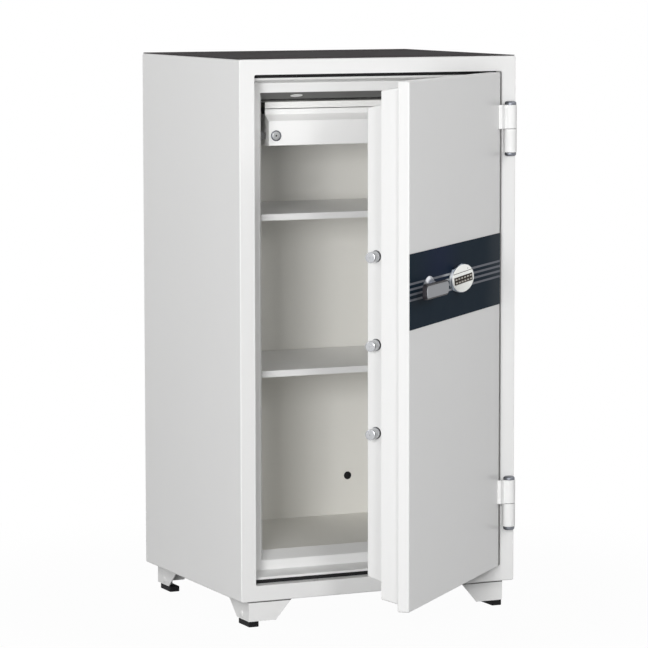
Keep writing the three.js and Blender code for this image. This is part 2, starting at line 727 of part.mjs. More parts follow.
// The frame under the ceiling: a front rail with a return, a roof, and a side plate with a runner each side
function drawerCarrier() {
  const y0 = FRONT + BAND_DEPTH;
  const y1 = FRONT + CAVITY_BACK - CARRIER_REAR_GAP;
  const roof = CAVITY_CEILING - FIT;
  const wall = CAVITY_HALF - FIT;
  const sheet = CARRIER_SHEET;
  const low = RUNNER_Z - RUNNER_H / 2;
  const slotFront = y0 + FRONT_T;
  const railTop = RAIL_LOW + RAIL_H;
  const returned = y0 + RAIL_RETURN;
  const rail = DRAWER_HALF;
  let body = block(-wall, wall, returned - sheet, y1, roof - sheet, roof);
  body = body.add(block(-rail, rail, y0, y0 + sheet, RAIL_LOW, railTop));
  body = body.add(block(-rail, rail, y0, returned, railTop - sheet, railTop));
  body = body.add(block(-wall, wall, returned - sheet, returned, railTop - sheet, roof));
  for (const side of [-1, 1]) {
    const outer = side * wall;
    const plate = side * (wall - sheet);
    const ledge = side * (BOX_HALF + RUN_GAP);
    const [p0, p1] = [Math.min(outer, plate), Math.max(outer, plate)];
    const [l0, l1] = [Math.min(outer, ledge), Math.max(outer, ledge)];
    body = body.add(block(p0, p1, y0, y1, low, roof));
    body = body.add(block(l0, l1, slotFront, y1, RUNNER_Z - RUNNER_T - FIT, RUNNER_Z - FIT));
  }
  const catchBack = CAM_Y - FIT;
  const catchLow = CAM_LOCK_Z - CAM_HALF - CATCH_MARGIN;
  const catchHigh = CAM_LOCK_Z + CAM_HALF + CATCH_MARGIN;
  const catchTip = -DRAWER_HALF - CATCH_MARGIN;
  body = body.add(block(-wall, -wall + sheet, catchBack - sheet, y0 + 1, catchLow, catchHigh));
  body = body.add(block(-wall, catchTip, catchBack - sheet, catchBack, catchLow, catchHigh));
  return body.intersect(loft([linerRing(0, -FIT), linerRing(BODY_D, -FIT)]));
}

// The drawer's cam lock: a round barrel with a raised rim round its sunken face
function drawerLock() {
  const rim = CAM_LOCK_R - CAM_LOCK_RECESS;
  const sunk = CAM_LOCK_HEAD - CAM_LOCK_RECESS;
  const profile = [
    [0, -sunk],
    [rim - 2 * CAM_LOCK_RECESS, -sunk],
    [rim - CAM_LOCK_RECESS, -CAM_LOCK_HEAD],
    [rim, -CAM_LOCK_HEAD],
    [CAM_LOCK_R, -sunk],
    [CAM_LOCK_R, -FIT],
    [CAM_LOCK_NECK, -FIT],
    [CAM_LOCK_NECK, CAM_LOCK_LEN],
    [0, CAM_LOCK_LEN],
  ];
  return turned('y', CAM_LOCK_X, FRONT + DRAWER_FRONT, CAM_LOCK_Z, profile, 24);
}

function drawerCam() {
  const [x, y, z] = [CAM_LOCK_X, CAM_Y, CAM_LOCK_Z];
  const hub = rod('y', x, y, z, CAM_HUB_R, CAM_T, 20);
  return hub.add(block(x - CAM_HALF, x + CAM_HALF, y, y + CAM_T, z, z + CAM_LEN));
}

// Hinges: a knuckle on the door above a knuckle on the frame, and one pin through both
function hingeBar(low, radius, length) {
  return rod('z', HINGE_X, HINGE_Y, low, radius, length);
}

function doorKnuckle(z) {
  const low = z + FIT;
  const weld = FRONT - FIT;
  const leaf = prism('z', low, low + KNUCKLE_H, [
    [SLAB_HALF - LEAF_W, weld],
    [SLAB_HALF, weld],
    [SLAB_HALF + DOOR_GAP, weld - DOOR_GAP],
    [HINGE_X, HINGE_Y + HINGE_R - 1],
    [HINGE_X, HINGE_Y],
    [SLAB_HALF, weld - LEAF_T - LEAF_RISE],
    [SLAB_HALF - LEAF_W, weld - LEAF_T],
  ]);
  const knuckle = hingeBar(low, HINGE_R, KNUCKLE_H).add(leaf);
  return knuckle.subtract(hingeBar(low - 1, HINGE_PIN_R + FIT, KNUCKLE_H + 2));
}

function frameKnuckle(z) {
  const low = z - FIT - KNUCKLE_H;
  const [x0, x1] = [HINGE_X - SADDLE_IN, HINGE_X + SADDLE_OUT];
  const saddle = block(x0, x1, HINGE_Y, FRONT - FIT, low, low + KNUCKLE_H);
  const knuckle = hingeBar(low, HINGE_R, KNUCKLE_H).add(saddle);
  return knuckle.subtract(hingeBar(low - 1, HINGE_PIN_R + FIT, KNUCKLE_H + 2));
}

// The pin has a domed cap at each end, drawn once and mirrored about the joint between the knuckles
function hingePin(z) {
  const seat = 2 * FIT + KNUCKLE_H;
  const half = [
    [HINGE_PIN_R, seat],
    [CAP_R, seat],
    [CAP_R, seat + CAP_H - CAP_CROWN],
    [CAP_R - CAP_BEVEL, seat + CAP_H - CAP_BEVEL],
    [CAP_R - CAP_CROWN, seat + CAP_H],
    [0, seat + CAP_H],
  ];
  const mirrored = half.map(([r, h]) => [r, -h]).reverse();
  return turned('z', HINGE_X, HINGE_Y, z, [...mirrored, ...half]);
}

// The door's pieces are drawn in the place that they have when it is shut
function spindleBar(y, radius, length) {
  return rod('y', HANDLE_X, y, BAND_HEIGHT, radius, length, 20);
}

// The slab and the tapered step behind it, folded from one sheet and open at the back
function doorOuter() {
  const radius = CORNER - 1;
  const shell = loft([
    inset(0, EDGE, EDGE, radius),
    inset(EDGE, 0, 0, radius),
    inset(SLAB_T - EDGE, 0, 0, radius),
    inset(SLAB_T, EDGE, EDGE, radius),
    inset(SLAB_T, STEP_IN_FRONT, STEP_IN_FRONT),
    inset(STEP_BACK, STEP_IN_BACK, STEP_IN_BACK),
  ]);
  const wall = SHEET;
  const inside = loft([
    inset(wall, wall, wall),
    inset(SLAB_T - wall, wall, wall),
    inset(SLAB_T - wall, STEP_IN_FRONT + wall, STEP_IN_FRONT + wall),
    inset(STEP_BACK + 1, STEP_IN_BACK + wall, STEP_IN_BACK + wall),
  ]);
  return shell.subtract(inside).subtract(spindleBar(FRONT - 1, SPINDLE_R + RUN_GAP, SHEET + 2));
}

function doorInsulation() {
  const wall = SHEET + FIT;
  const mass = loft([
    inset(wall, wall, wall),
    inset(SLAB_T - wall, wall, wall),
    inset(SLAB_T - wall, STEP_IN_FRONT + wall, STEP_IN_FRONT + wall),
    inset(STEP_BACK - FIT, STEP_IN_BACK + wall, STEP_IN_BACK + wall),
  ]);
  return mass.subtract(spindleBar(FRONT, SPINDLE_R + SPINDLE_WAY, STEP_BACK + 1));
}

// The plug is a folded pan with a flange against the step, holed for the bolts
function doorInnerPan() {
  const front = STEP_BACK + FIT;
  const side = plugSide(front);
  const end = plugEnd(front);
  const flange = loft([
    inset(front, side - PAN_FLANGE, end - PAN_FLANGE),
    inset(front + PAN_T, side - PAN_FLANGE, end - PAN_FLANGE),
  ]);
  const shell = loft([
    inset(front, side, end),
    inset(PLUG_BACK - EDGE, PLUG_SIDE_BACK, PLUG_END_BACK),
    inset(PLUG_BACK, PLUG_SIDE_BACK + EDGE, PLUG_END_BACK + EDGE),
  ]);
  const inside = loft([
    inset(front - 1, side + PAN_T, end + PAN_T),
    inset(PLUG_BACK - PAN_T, PLUG_SIDE_BACK + PAN_T, PLUG_END_BACK + PAN_T),
  ]);
  let pan = flange.add(shell).subtract(inside);
  const reach = PLUG_SIDE_BACK + PAN_FLANGE;
  for (let i = 0; i < BOLT_COUNT; i += 1) {
    const hole = rod('x', -SLAB_HALF, FRONT + BOLT_DEPTH, boltHeight(i), BOLT_R + BOLT_CLEAR, reach);
    pan = pan.subtract(hole);
  }
  return pan;
}

function bandPanel() {
  const half = SLAB_HALF - EDGE;
  const low = BAND_HEIGHT - BAND_H / 2;
  const sheet = prism('y', BAND_FRONT, FRONT - FIT, roundedShape(-half, half, low, low + BAND_H, BAND_T));
  return sheet.subtract(spindleBar(BAND_FRONT - 1, SPINDLE_R + RUN_GAP, BAND_T + 2));
}

// Boltwork: a bar that carries the bolts, driven by the crank that hangs from the handle's spindle.
// The crank swings from CRANK_LEAN on one side of upright to as much on the other.
const BAR_X0 = -SLAB_HALF + plugSide(BOLT_DEPTH) + BAR_INSET;
const BAR_X1 = BAR_X0 + BAR_T;
const CRANK_LEAN = THREE.MathUtils.degToRad(HANDLE_SWEEP / 2);
const CRANK_R = BOLT_TRAVEL / (2 * Math.sin(CRANK_LEAN));
const CRANK_X = HANDLE_X - CRANK_R * Math.sin(CRANK_LEAN);
const CRANK_Z = BAND_HEIGHT - CRANK_R * Math.cos(CRANK_LEAN);
const CRANK_REACH = CRANK_R + CRANK_PIN_R;
const LUG_Y = FRONT + BOLT_DEPTH;
const LUG_TOP = BAND_HEIGHT + CRANK_REACH + LUG_MARGIN;
const LUG_LOW = BAND_HEIGHT - CRANK_REACH - LUG_MARGIN;
const FINGER_X = HANDLE_X + FINGER_IN;
const FINGER_TOP = LUG_TOP + FINGER_H;

function slidingBolt(i) {
  const length = BAR_X0 - FIT - BOLT_TIP;
  const profile = [
    [0, 0],
    [BOLT_R - BOLT_BEVEL, 0],
    [BOLT_R, BOLT_BEVEL],
    [BOLT_R, length],
    [0, length],
  ];
  return turned('x', BOLT_TIP, LUG_Y, boltHeight(i), profile, 28);
}

// The bar has a lug behind the crank, slotted for its pin, and a finger above that the lock blocks
function boltBar() {
  const low = boltHeight(0) - BAR_END;
  const high = Math.max(boltHeight(BOLT_COUNT - 1) + BAR_END, LUG_TOP);
  const bar = block(BAR_X0, BAR_X1, LUG_Y - BAR_W / 2, LUG_Y + BAR_W / 2, low, high);
  const right = FINGER_X + FINGER_W;
  const lug = block(BAR_X1 - 1, right, LUG_Y, LUG_Y + LUG_T, LUG_LOW, LUG_TOP);
  const finger = block(FINGER_X, right, LUG_Y, LUG_Y + LUG_T, LUG_TOP - 1, FINGER_TOP);
  const half = CRANK_PIN_R + RUN_GAP;
  const slotLow = BAND_HEIGHT - CRANK_REACH - RUN_GAP;
  const slot = block(CRANK_X - half, CRANK_X + half, LUG_Y - 1, LUG_Y + LUG_T + 1, slotLow, CRANK_Z + half);
  return bar.add(lug).add(finger).subtract(slot);
}

// Handle: the spindle turns in the door, the hub and the lever sit on its front end
const LEVER_BACK = BAND_FRONT - FIT - HUB_H;
const LEVER_FRONT = LEVER_BACK - LEVER_T;

// The hub is a trumpet: a neck under the lever that opens as a quarter ellipse to a thin rim on the door
function handleHub() {
  const profile = [[0, 0]];
  for (let step = 0; step <= HUB_STEPS; step += 1) {
    const turn = (step / HUB_STEPS) * (Math.PI / 2);
    const radius = HUB_R - (HUB_R - HUB_NECK_R) * Math.cos(turn);
    profile.push([radius, (HUB_H - HUB_RIM) * Math.sin(turn)]);
  }
  profile.push([HUB_R, HUB_H], [0, HUB_H]);
  const hub = turned('y', HANDLE_X, LEVER_BACK, BAND_HEIGHT, profile, 32);
  return hub.subtract(spindleBar(LEVER_BACK + SPINDLE_SEAT, SPINDLE_R + FIT, HUB_H));
}

// The lever's outline drawn in by a rim, at the depth y
function leverRing(rim, y) {
  const outline = roundedShape(
    HANDLE_X - LEVER_TIP + rim,
    HANDLE_X + LEVER_TAIL - rim,
    BAND_HEIGHT - LEVER_H / 2 + rim,
    BAND_HEIGHT + LEVER_H / 2 - rim,
    LEVER_TIP_CORNER - rim,
    LEVER_CORNER - rim,
  );
  return shapeRing(outline, 6, (p) => [p.x, y, p.y]);
}

// The lever is a paddle with softened edges, its tip towards the door's free edge
function leverBody() {
  const body = loft([
    leverRing(LEVER_EDGE, LEVER_BACK - FIT),
    leverRing(0, LEVER_BACK - FIT - LEVER_EDGE),
    leverRing(0, LEVER_FRONT + LEVER_EDGE),
    leverRing(LEVER_EDGE, LEVER_FRONT),
  ]);
  const rim = INSERT_RIM - FIT;
  return body.subtract(loft([leverRing(rim, LEVER_FRONT - 1), leverRing(rim, LEVER_FRONT + INSERT_T)]));
}

function leverInsert() {
  const face = LEVER_FRONT - INSERT_PROUD;
  return loft([
    leverRing(INSERT_RIM, LEVER_FRONT + INSERT_T - FIT),
    leverRing(INSERT_RIM, face + INSERT_EDGE),
    leverRing(INSERT_RIM + INSERT_EDGE, face),
  ]);
}

// The spindle has a hanging crank at its inner end, whose pin drives the bar
function handleSpindle() {
  const y0 = LEVER_BACK + SPINDLE_SEAT + FIT;
  const y1 = LUG_Y - 2 * RUN_GAP;
  const crankFront = y1 - CRANK_T;
  const shaft = spindleBar(y0, SPINDLE_R, y1 - y0);
  const boss = spindleBar(crankFront, CRANK_W, CRANK_T);
  const across = (CRANK_W / 2) * Math.cos(CRANK_LEAN);
  const along = (CRANK_W / 2) * Math.sin(CRANK_LEAN);
  const arm = prism('y', crankFront, y1, [
    [HANDLE_X - across, BAND_HEIGHT + along],
    [HANDLE_X + across, BAND_HEIGHT - along],
    [CRANK_X + across, CRANK_Z - along],
    [CRANK_X - across, CRANK_Z + along],
  ]);
  const end = rod('y', CRANK_X, crankFront, CRANK_Z, CRANK_W / 2, CRANK_T, 20);
  const pinLength = 3 * RUN_GAP + 2 * LUG_T;
  const pin = rod('y', CRANK_X, y1 - RUN_GAP, CRANK_Z, CRANK_PIN_R, pinLength, 16);
  return shaft.add(boss).add(arm).add(end).add(pin);
}

// Lock body inside the door: its bolt drops in front of the bar's finger
const LOCK_BOLT_X = FINGER_X + FINGER_W + LOCK_BOLT_GAP;
const LOCK_BOLT_LOW = FINGER_TOP + LOCK_BOLT_GAP;
const LOCK_BOLT_HIGH = LOCK_BOLT_LOW + LOCK_BOLT_L;
const LOCK_BOLT_Y = LUG_Y + (LUG_T - LOCK_BOLT_T) / 2;

// The lock's bolt, drawn out by a gap all round
function lockBoltBlock(gap, low, high) {
  const [x0, x1] = [LOCK_BOLT_X - gap, LOCK_BOLT_X + LOCK_BOLT_W + gap];
  return block(x0, x1, LOCK_BOLT_Y - gap, LOCK_BOLT_Y + LOCK_BOLT_T + gap, low, high);
}

function lockCase() {
  const x0 = LOCK_BOLT_X + (LOCK_BOLT_W - CASE_W) / 2;
  const y0 = FRONT + STEP_BACK + FIT;
  const low = LOCK_BOLT_LOW + CASE_GAP;
  const body = block(x0, x0 + CASE_W, y0, y0 + CASE_T, low, low + CASE_H);
  return body.subtract(lockBoltBlock(FIT, low - 1, LOCK_BOLT_HIGH + FIT));
}

// Lock face: a round face set on a wedge-shaped collar that turns it towards the free edge
const LOCK_CENTRE = new THREE.Vector3(-LOCK_SHIFT, BAND_FRONT - LOCK_OUT, BAND_HEIGHT + LOCK_UP);

// The face's own across, up and outward directions, rolled in its plane
function lockAxes(roll) {
  const turn = THREE.MathUtils.degToRad(LOCK_TURN);
  const tilt = THREE.MathUtils.degToRad(LOCK_TILT);
  const flat = THREE.MathUtils.degToRad(roll);
  const level = Math.cos(tilt);
  const n = new THREE.Vector3(Math.sin(turn) * level, -Math.cos(turn) * level, Math.sin(tilt));
  const h = new THREE.Vector3(Math.cos(turn), Math.sin(turn), 0);
  const v = new THREE.Vector3().crossVectors(n, h);
  const across = h.clone().multiplyScalar(Math.cos(flat)).addScaledVector(v, Math.sin(flat));
  const up = v.clone().multiplyScalar(Math.cos(flat)).addScaledVector(h, -Math.sin(flat));
  return [across, up, n];
}

const lockHead = new THREE.Group();
lockHead.applyMatrix4(new THREE.Matrix4().makeBasis(...lockAxes(LOCK_ROLL)).setPosition(LOCK_CENTRE));

// The keypad's field in the face's own frame, drawn out by a margin
function keypadBlock(margin, low, high) {
  const half = PAD_W / 2 + margin;
  const rise = PAD_H / 2 + margin;
  return block(-half, half, -PAD_DOWN - rise, -PAD_DOWN + rise, low, high);
}

function lockCollar() {
  const [h, v, n] = lockAxes(0);
  const foot = LOCK_R + COLLAR_FLARE;
  const back = LOCK_CENTRE.clone().addScaledVector(n, -FACE_T - FIT);
  const base = [];
  const rim = [];
  for (let i = 0; i < ROUND_STEPS; i += 1) {
    const angle = (2 * Math.PI * i) / ROUND_STEPS;
    const [c, s] = [Math.cos(angle), Math.sin(angle)];
    base.push(new THREE.Vector3(LOCK_CENTRE.x + foot * c, BAND_FRONT - FIT, LOCK_CENTRE.z + foot * s));
    rim.push(back.clone().addScaledVector(h, LOCK_R * c).addScaledVector(v, LOCK_R * s));
  }
  const pocket = reflected(keypadBlock(-PAD_SEAT, -PAD_POCKET, 0), lockHead.matrix);
  return loft([base, rim]).subtract(pocket);
}

function lockFace() {
  const radius = LOCK_R - FACE_RIM;
  const profile = [
    [0, -FACE_T],
    [radius, -FACE_T],
    [radius, -FACE_T / 2],
    [radius - FACE_T / 2, 0],
    [0, 0],
  ];
  return turned('z', 0, 0, 0, profile, ROUND_STEPS).subtract(keypadBlock(FIT, -FACE_T - 1, 1));
}

function keyPlace(row, column) {
  const x = (column - (KEY_COLUMNS - 1) / 2) * KEY_PITCH_X;
  const y = ((KEY_ROWS - 1) / 2 - row) * KEY_PITCH_Y - PAD_DOWN;
  return [x, y];
}

function keypadPlate() {
  let plate = keypadBlock(0, -FACE_T, -PAD_RECESS);
  for (let row = 0; row < KEY_ROWS; row += 1) {
    for (let column = 0; column < KEY_COLUMNS; column += 1) {
      const [x, y] = keyPlace(row, column);
      const [w, h] = [KEY_W / 2 + FIT, KEY_H / 2 + FIT];
      plate = plate.subtract(block(x - w, x + w, y - h, y + h, -FACE_T - 1, 1));
    }
  }
  return plate;
}

function keyRing(rim, z) {
  const [w, h] = [KEY_W / 2 - rim, KEY_H / 2 - rim];
  return shapeRing(roundedShape(-w, w, -h, h, KEY_CORNER), 2, (p) => [p.x, p.y, z]);
}

function keyCap() {
  const top = KEY_PROUD - PAD_RECESS;
  return loft([keyRing(0, -FACE_T + FIT), keyRing(0, top - KEY_EDGE), keyRing(KEY_EDGE, top)]);
}

// The cabinet, which stands still
add(cabinet, 'outer_casing', outerCasing(), white);
add(cabinet, 'back_panel', backPanel(), white);
add(cabinet, 'top_cover', topCover(), charcoal);
add(cabinet, 'fire_insulation', fireInsulation(), filler);
add(cabinet, 'door_jamb', doorJamb(), white);
add(cabinet, 'fire_seal', fireSeal(), rubber);
add(cabinet, 'inner_liner', innerLiner(), white);
add(cabinet, 'anchor_plug', anchorPlug(), rubber);
add(cabinet, 'shelf_support_left', shelfSupport(-1), zinc);
add(cabinet, 'shelf_support_right', shelfSupport(1), zinc);
add(cabinet, 'shelf_lower', shelf(SHELF_HEIGHTS[0]), steel);
add(cabinet, 'shelf_upper', shelf(SHELF_HEIGHTS[1]), steel);
for (const [end, sy] of [['front', -1], ['rear', 1]]) {
  for (const [hand, sx] of [['left', -1], ['right', 1]]) {
    add(cabinet, `foot_bracket_${end}_${hand}`, footBracket(sx, sy), white);
    add(cabinet, `foot_pad_${end}_${hand}`, footPad(sx, sy), rubber);
  }
}
add(cabinet, 'drawer_carrier', drawerCarrier(), white);
for (const [name, z] of [['lower', HINGE_HEIGHTS[0]], ['upper', HINGE_HEIGHTS[1]]]) {
  add(cabinet, `hinge_frame_knuckle_${name}`, frameKnuckle(z), white);
  add(cabinet, `hinge_pin_${name}`, hingePin(z), steel);
  add(door, `hinge_door_knuckle_${name}`, doorKnuckle(z), white);
}

// The drawer and its cam lock
add(cabinet, 'drawer_box', drawerBox(), white);
add(cabinet, 'drawer_front', drawerFront(), white);
add(cabinet, 'drawer_lock', drawerLock(), chrome);
add(cabinet, 'drawer_lock_cam', drawerCam(), zinc);

// The door, its boltwork and its handle
add(door, 'door_outer', doorOuter(), doorGrey);
add(door, 'door_insulation', doorInsulation(), filler);
add(door, 'door_inner_pan', doorInnerPan(), white);
add(door, 'band_panel', bandPanel(), navy);
add(door, 'bolt_bar', boltBar(), zinc);
for (let i = 0; i < BOLT_COUNT; i += 1) add(door, `sliding_bolt_${i + 1}`, slidingBolt(i), steel);
add(door, 'handle_hub', handleHub(), chrome);
add(door, 'lever_body', leverBody(), blackPlastic);
add(door, 'lever_insert', leverInsert(), satinGrey);
add(door, 'handle_spindle', handleSpindle(), zinc);

// The electronic lock
add(door, 'lock_case', lockCase(), zinc);
add(door, 'lock_bolt', lockBoltBlock(0, LOCK_BOLT_LOW, LOCK_BOLT_HIGH), steel);
add(door, 'lock_collar', lockCollar(), chrome);
const lockSeat = new THREE.Group();
lockSeat.position.set(-HINGE_X, -HINGE_Y, 0);
lockSeat.add(lockHead);
door.add(lockSeat);
add(lockHead, 'lock_face', lockFace(), white);
add(lockHead, 'keypad_plate', keypadPlate(), keyField);
for (let row = 0; row < KEY_ROWS; row += 1) {
  for (let column = 0; column < KEY_COLUMNS; column += 1) {
    const key = add(lockHead, `key_${row + 1}_${column + 1}`, keyCap(), keyPale);
    key.position.set(...keyPlace(row, column), 0);
  }
}

export default safe;
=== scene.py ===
import json
import math

import bpy
import numpy as np
from mathutils import Matrix, Vector


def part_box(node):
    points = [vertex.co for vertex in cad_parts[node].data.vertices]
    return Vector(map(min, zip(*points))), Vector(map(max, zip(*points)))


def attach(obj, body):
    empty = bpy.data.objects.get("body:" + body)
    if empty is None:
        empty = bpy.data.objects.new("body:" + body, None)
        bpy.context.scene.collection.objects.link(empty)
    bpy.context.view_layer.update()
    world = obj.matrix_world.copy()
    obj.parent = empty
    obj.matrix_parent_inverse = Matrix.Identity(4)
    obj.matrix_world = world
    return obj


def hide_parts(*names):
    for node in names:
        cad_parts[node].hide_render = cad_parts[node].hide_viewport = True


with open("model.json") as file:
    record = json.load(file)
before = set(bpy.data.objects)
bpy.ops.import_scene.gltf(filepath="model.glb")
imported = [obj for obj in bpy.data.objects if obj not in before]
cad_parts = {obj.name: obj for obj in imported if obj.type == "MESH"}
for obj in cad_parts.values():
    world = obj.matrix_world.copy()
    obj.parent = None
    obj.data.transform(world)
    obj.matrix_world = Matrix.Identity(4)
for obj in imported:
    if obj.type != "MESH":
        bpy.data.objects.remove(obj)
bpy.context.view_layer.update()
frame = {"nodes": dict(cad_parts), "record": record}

# Sizes below are in millimetres, as in the part's source; pieces are made in metres.
MM = 0.001
SIDEWAYS, BACKWARDS, UPWARDS = (1.0, 0.0, 0.0), (0.0, 1.0, 0.0), (0.0, 0.0, 1.0)
FRONT = -275.0
BODY_HALF, BODY_TOP = 325.0, 1148.5
SHEET, FIT, DOOR_GAP = 2.0, 0.3, 2.5
SLAB_HALF, SLAB_LOW, SLAB_HIGH = 288.5, 36.5, 1113.5
# The door's depths behind its front face, and how far its step is set in at the front and at the back
SLAB_T, STEP_BACK, PLUG_BACK = 25.0, 67.0, 113.5
STEP_NEAR, STEP_FAR = 12.5, 20.0
# The jamb's ledges and depth, and how far its throat's sides and ends are set in at its front and its back
LEDGE_1, LEDGE_2, JAMB_DEPTH = 27.5, 69.5, 110.0
THROAT_SIDE, THROAT_END = (40.0, 59.796), (38.0, 53.172)
THROAT_RUN = JAMB_DEPTH - LEDGE_2
CAVITY_HALF = 228.704
CORNER = 4.0
BAND_Z, BAND_FRONT = 690.0, -276.3
HINGE = np.array([302.8, -293.5])
DOOR_OPEN = math.radians(44.2)
DOOR_ALONG = (math.cos(DOOR_OPEN), math.sin(DOOR_OPEN), 0.0)
DOOR_OUT = (math.sin(DOOR_OPEN), -math.cos(DOOR_OPEN), 0.0)
HANDLE_X = -167.5
BOLT_Y, BOLT_R, BOLT_TIP, BOLT_LONG = -183.0, 11.0, -266.9, 42.7
BOLT_HEIGHTS = (394.0, 575.0, 756.0)
CUP_R, CUP_HOLE_R, CUP_END = 15.5, 13.5, -274.7
FLOOR_Z = -56.6
DRAWER_FACE, DRAWER_LOW, RAIL_HALF, RAIL_TOP = -154.5, 959.83, 205.504, 1052.43
ROUND = 64


# Places: a door's piece is worked out with the door shut and then swung open about the hinge
def swung(points):
    """x' = c + (x - c) turned by the door's angle, about the upright line through the hinge."""
    points = np.asarray(points, float)
    c, s = math.cos(DOOR_OPEN), math.sin(DOOR_OPEN)
    flat = (points[..., :2] - HINGE) @ np.array([[c, s], [-s, c]]) + HINGE
    return np.concatenate([flat, points[..., 2:]], -1)


def on_band(x):
    """The band's point at x on the shut door, swung open."""
    return swung([x, BAND_FRONT, BAND_Z])


LOCK_TURN, LOCK_TILT, LOCK_ROLL = (math.radians(a) for a in (-29.6, -6, 12))


def lock_axes():
    """Across, up and outward directions of the lock's face on the shut door: it is turned towards the free
    edge, tilted down and rolled in its plane."""
    level = math.cos(LOCK_TILT)
    out = np.array([math.sin(LOCK_TURN) * level, -math.cos(LOCK_TURN) * level, math.sin(LOCK_TILT)])
    flat = np.array([math.cos(LOCK_TURN), math.sin(LOCK_TURN), 0.0])
    rise = np.cross(out, flat)
    across = flat * math.cos(LOCK_ROLL) + rise * math.sin(LOCK_ROLL)
    return np.array([across, rise * math.cos(LOCK_ROLL) - flat * math.sin(LOCK_ROLL), out])


LOCK_CENTRE = np.array([-8.0, BAND_FRONT - 17.6, BAND_Z + 5])
LOCK = lock_axes()


def on_lock(points):
    """centre + x across + y up + z outward, then swung with the door."""
    return swung(LOCK_CENTRE + np.asarray(points, float) @ LOCK)


# Skins: a skin is its points and its faces, and every closed one points outwards
def volume(points, faces):
    """Six times the signed volume: the sum of a . (b x c) over each face's fan of triangles."""
    total = 0.0
    for face in faces:
        p = points[np.asarray(face)]
        total += np.einsum("ij,ij->i", np.broadcast_to(p[0], p[1:-1].shape), np.cross(p[1:-1], p[2:])).sum()
    return total


def skin(rings, closed=False):
    """Rings with as many points each, joined by quads round each ring and from one ring to the next.
    A closed row of rings ends where it starts, and an open one gets a flat face at each end."""
    rings = np.asarray(rings, float)
    rows, count, _ = rings.shape
    r = np.arange(rows if closed else rows - 1)[:, None]
    c = np.arange(count)[None]
    n, s = (c + 1) % count, (r + 1) % rows
    quads = np.stack([r * count + c, r * count + n, s * count + n, s * count + c], -1)
    faces = quads.reshape(-1, 4).tolist()
    if not closed:
        faces += [list(range(count))[::-1], list(range((rows - 1) * count, rows * count))]
    points = rings.reshape(-1, 3)
    if volume(points - points.mean(0), faces) < 0:
        faces = [face[::-1] for face in faces]
    return points, faces


def moved(a_skin, place):
    """The skin with its points sent through a function."""
    return place(a_skin[0]), a_skin[1]


def rounded(line, radii, steps=4, closed=False):
    """Each corner p with a radius r becomes an arc of that radius. Its centre lies on the bisector
    at r / sin(half angle) from p, and it runs between the points r / tan(half angle) along the sides."""
    p = np.asarray(line, float)
    r = np.broadcast_to(np.asarray(radii, float), (len(p),))
    if closed:
        before, after, at = np.roll(p, 1, 0) - p, np.roll(p, -1, 0) - p, p
    else:
        before, after, at, r = p[:-2] - p[1:-1], p[2:] - p[1:-1], p[1:-1], r[1:-1]
    a = before / np.linalg.norm(before, axis=1)[:, None]
    b = after / np.linalg.norm(after, axis=1)[:, None]
    half = np.arccos(np.clip((a * b).sum(1), -1, 1)) / 2
    middle = (a + b) / np.linalg.norm(a + b, axis=1)[:, None]
    centre = at + middle * (r / np.sin(half))[:, None]
    start = at + a * (r / np.tan(half))[:, None] - centre
    end = at + b * (r / np.tan(half))[:, None] - centre
    sweep = (math.pi - 2 * half)[:, None, None]
    t = np.linspace(0, 1, steps + 1)[None, :, None]
    arc = (np.sin((1 - t) * sweep) * start[:, None] + np.sin(t * sweep) * end[:, None]) / np.sin(sweep)
    arc = arc + centre[:, None]
    keep = (r > 0)[:, None] | (np.arange(steps + 1) == 0)[None]
    bent = arc[keep]
    return bent if closed else np.concatenate([p[:1], bent, p[-1:]])


def upright(depth, half, low, high, radius):
    """Upright rounded rectangles, one ring a row: four quarter arcs about centres set in by the radius."""
    depth, half, low, high, radius = (
        np.asarray(v, float).reshape(-1, 1, 1) for v in np.broadcast_arrays(depth, half, low, high, radius)
    )
    turn = np.radians(np.arange(4)[:, None] * 90 + np.linspace(0, 90, 6))[None]
    side = np.array([1, -1, -1, 1]).reshape(1, 4, 1)
    top = np.array([1, 1, 0, 0]).reshape(1, 4, 1)
    x = side * (half - radius) + radius * np.cos(turn)
    z = np.where(top == 1, high - radius, low + radius) + radius * np.sin(turn)
    y = np.broadcast_to(FRONT + depth, x.shape)
    return np.stack([x, y, z], -1).reshape(len(x), -1, 3)


def frame_rings(profile, radii, corner=CORNER):
    """Rows of (depth, half width, low, high), with their bends rounded, as upright rings."""
    profile = np.asarray(profile, float)
    bends = [rounded(profile[:, [0, k]], radii) for k in (1, 2, 3)]
    return upright(bends[0][:, 0], bends[0][:, 1], bends[1][:, 1], bends[2][:, 1], corner)


def door_row(depth, side, end=None):
    """A row at a depth behind the door's front face, set in from the slab's outline."""
    end = side if end is None else end
    return [depth, SLAB_HALF - side, SLAB_LOW + end, SLAB_HIGH - end]


def hole_ring(ring, x, z, radius):
    """The ring's points drawn in along their directions from (x, z) onto a circle about it."""
    away = ring[:, [0, 2]] - [x, z]
    away = away / np.linalg.norm(away, axis=1)[:, None] * radius
    return np.stack([x + away[:, 0], ring[:, 1], z + away[:, 1]], -1)


def turned(profile, centre, axis, steps=ROUND, closed=False, place=None):
    """A (radius, height) profile turned about an axis: centre + h axis + r (a cos t + b sin t)."""
    profile = np.asarray(profile, float)
    axis = np.asarray(axis, float) / np.linalg.norm(axis)
    askew = [0.31, 0.52, 0.79]
    a = np.cross(axis, askew)
    a /= np.linalg.norm(a)
    b = np.cross(axis, a)
    t = np.linspace(0, 2 * math.pi, steps, endpoint=False)
    around = np.cos(t)[:, None] * a + np.sin(t)[:, None] * b
    rings = np.asarray(centre, float) + profile[:, 1, None, None] * axis + profile[:, 0, None, None] * around
    return skin(rings if place is None else place(rings), closed)


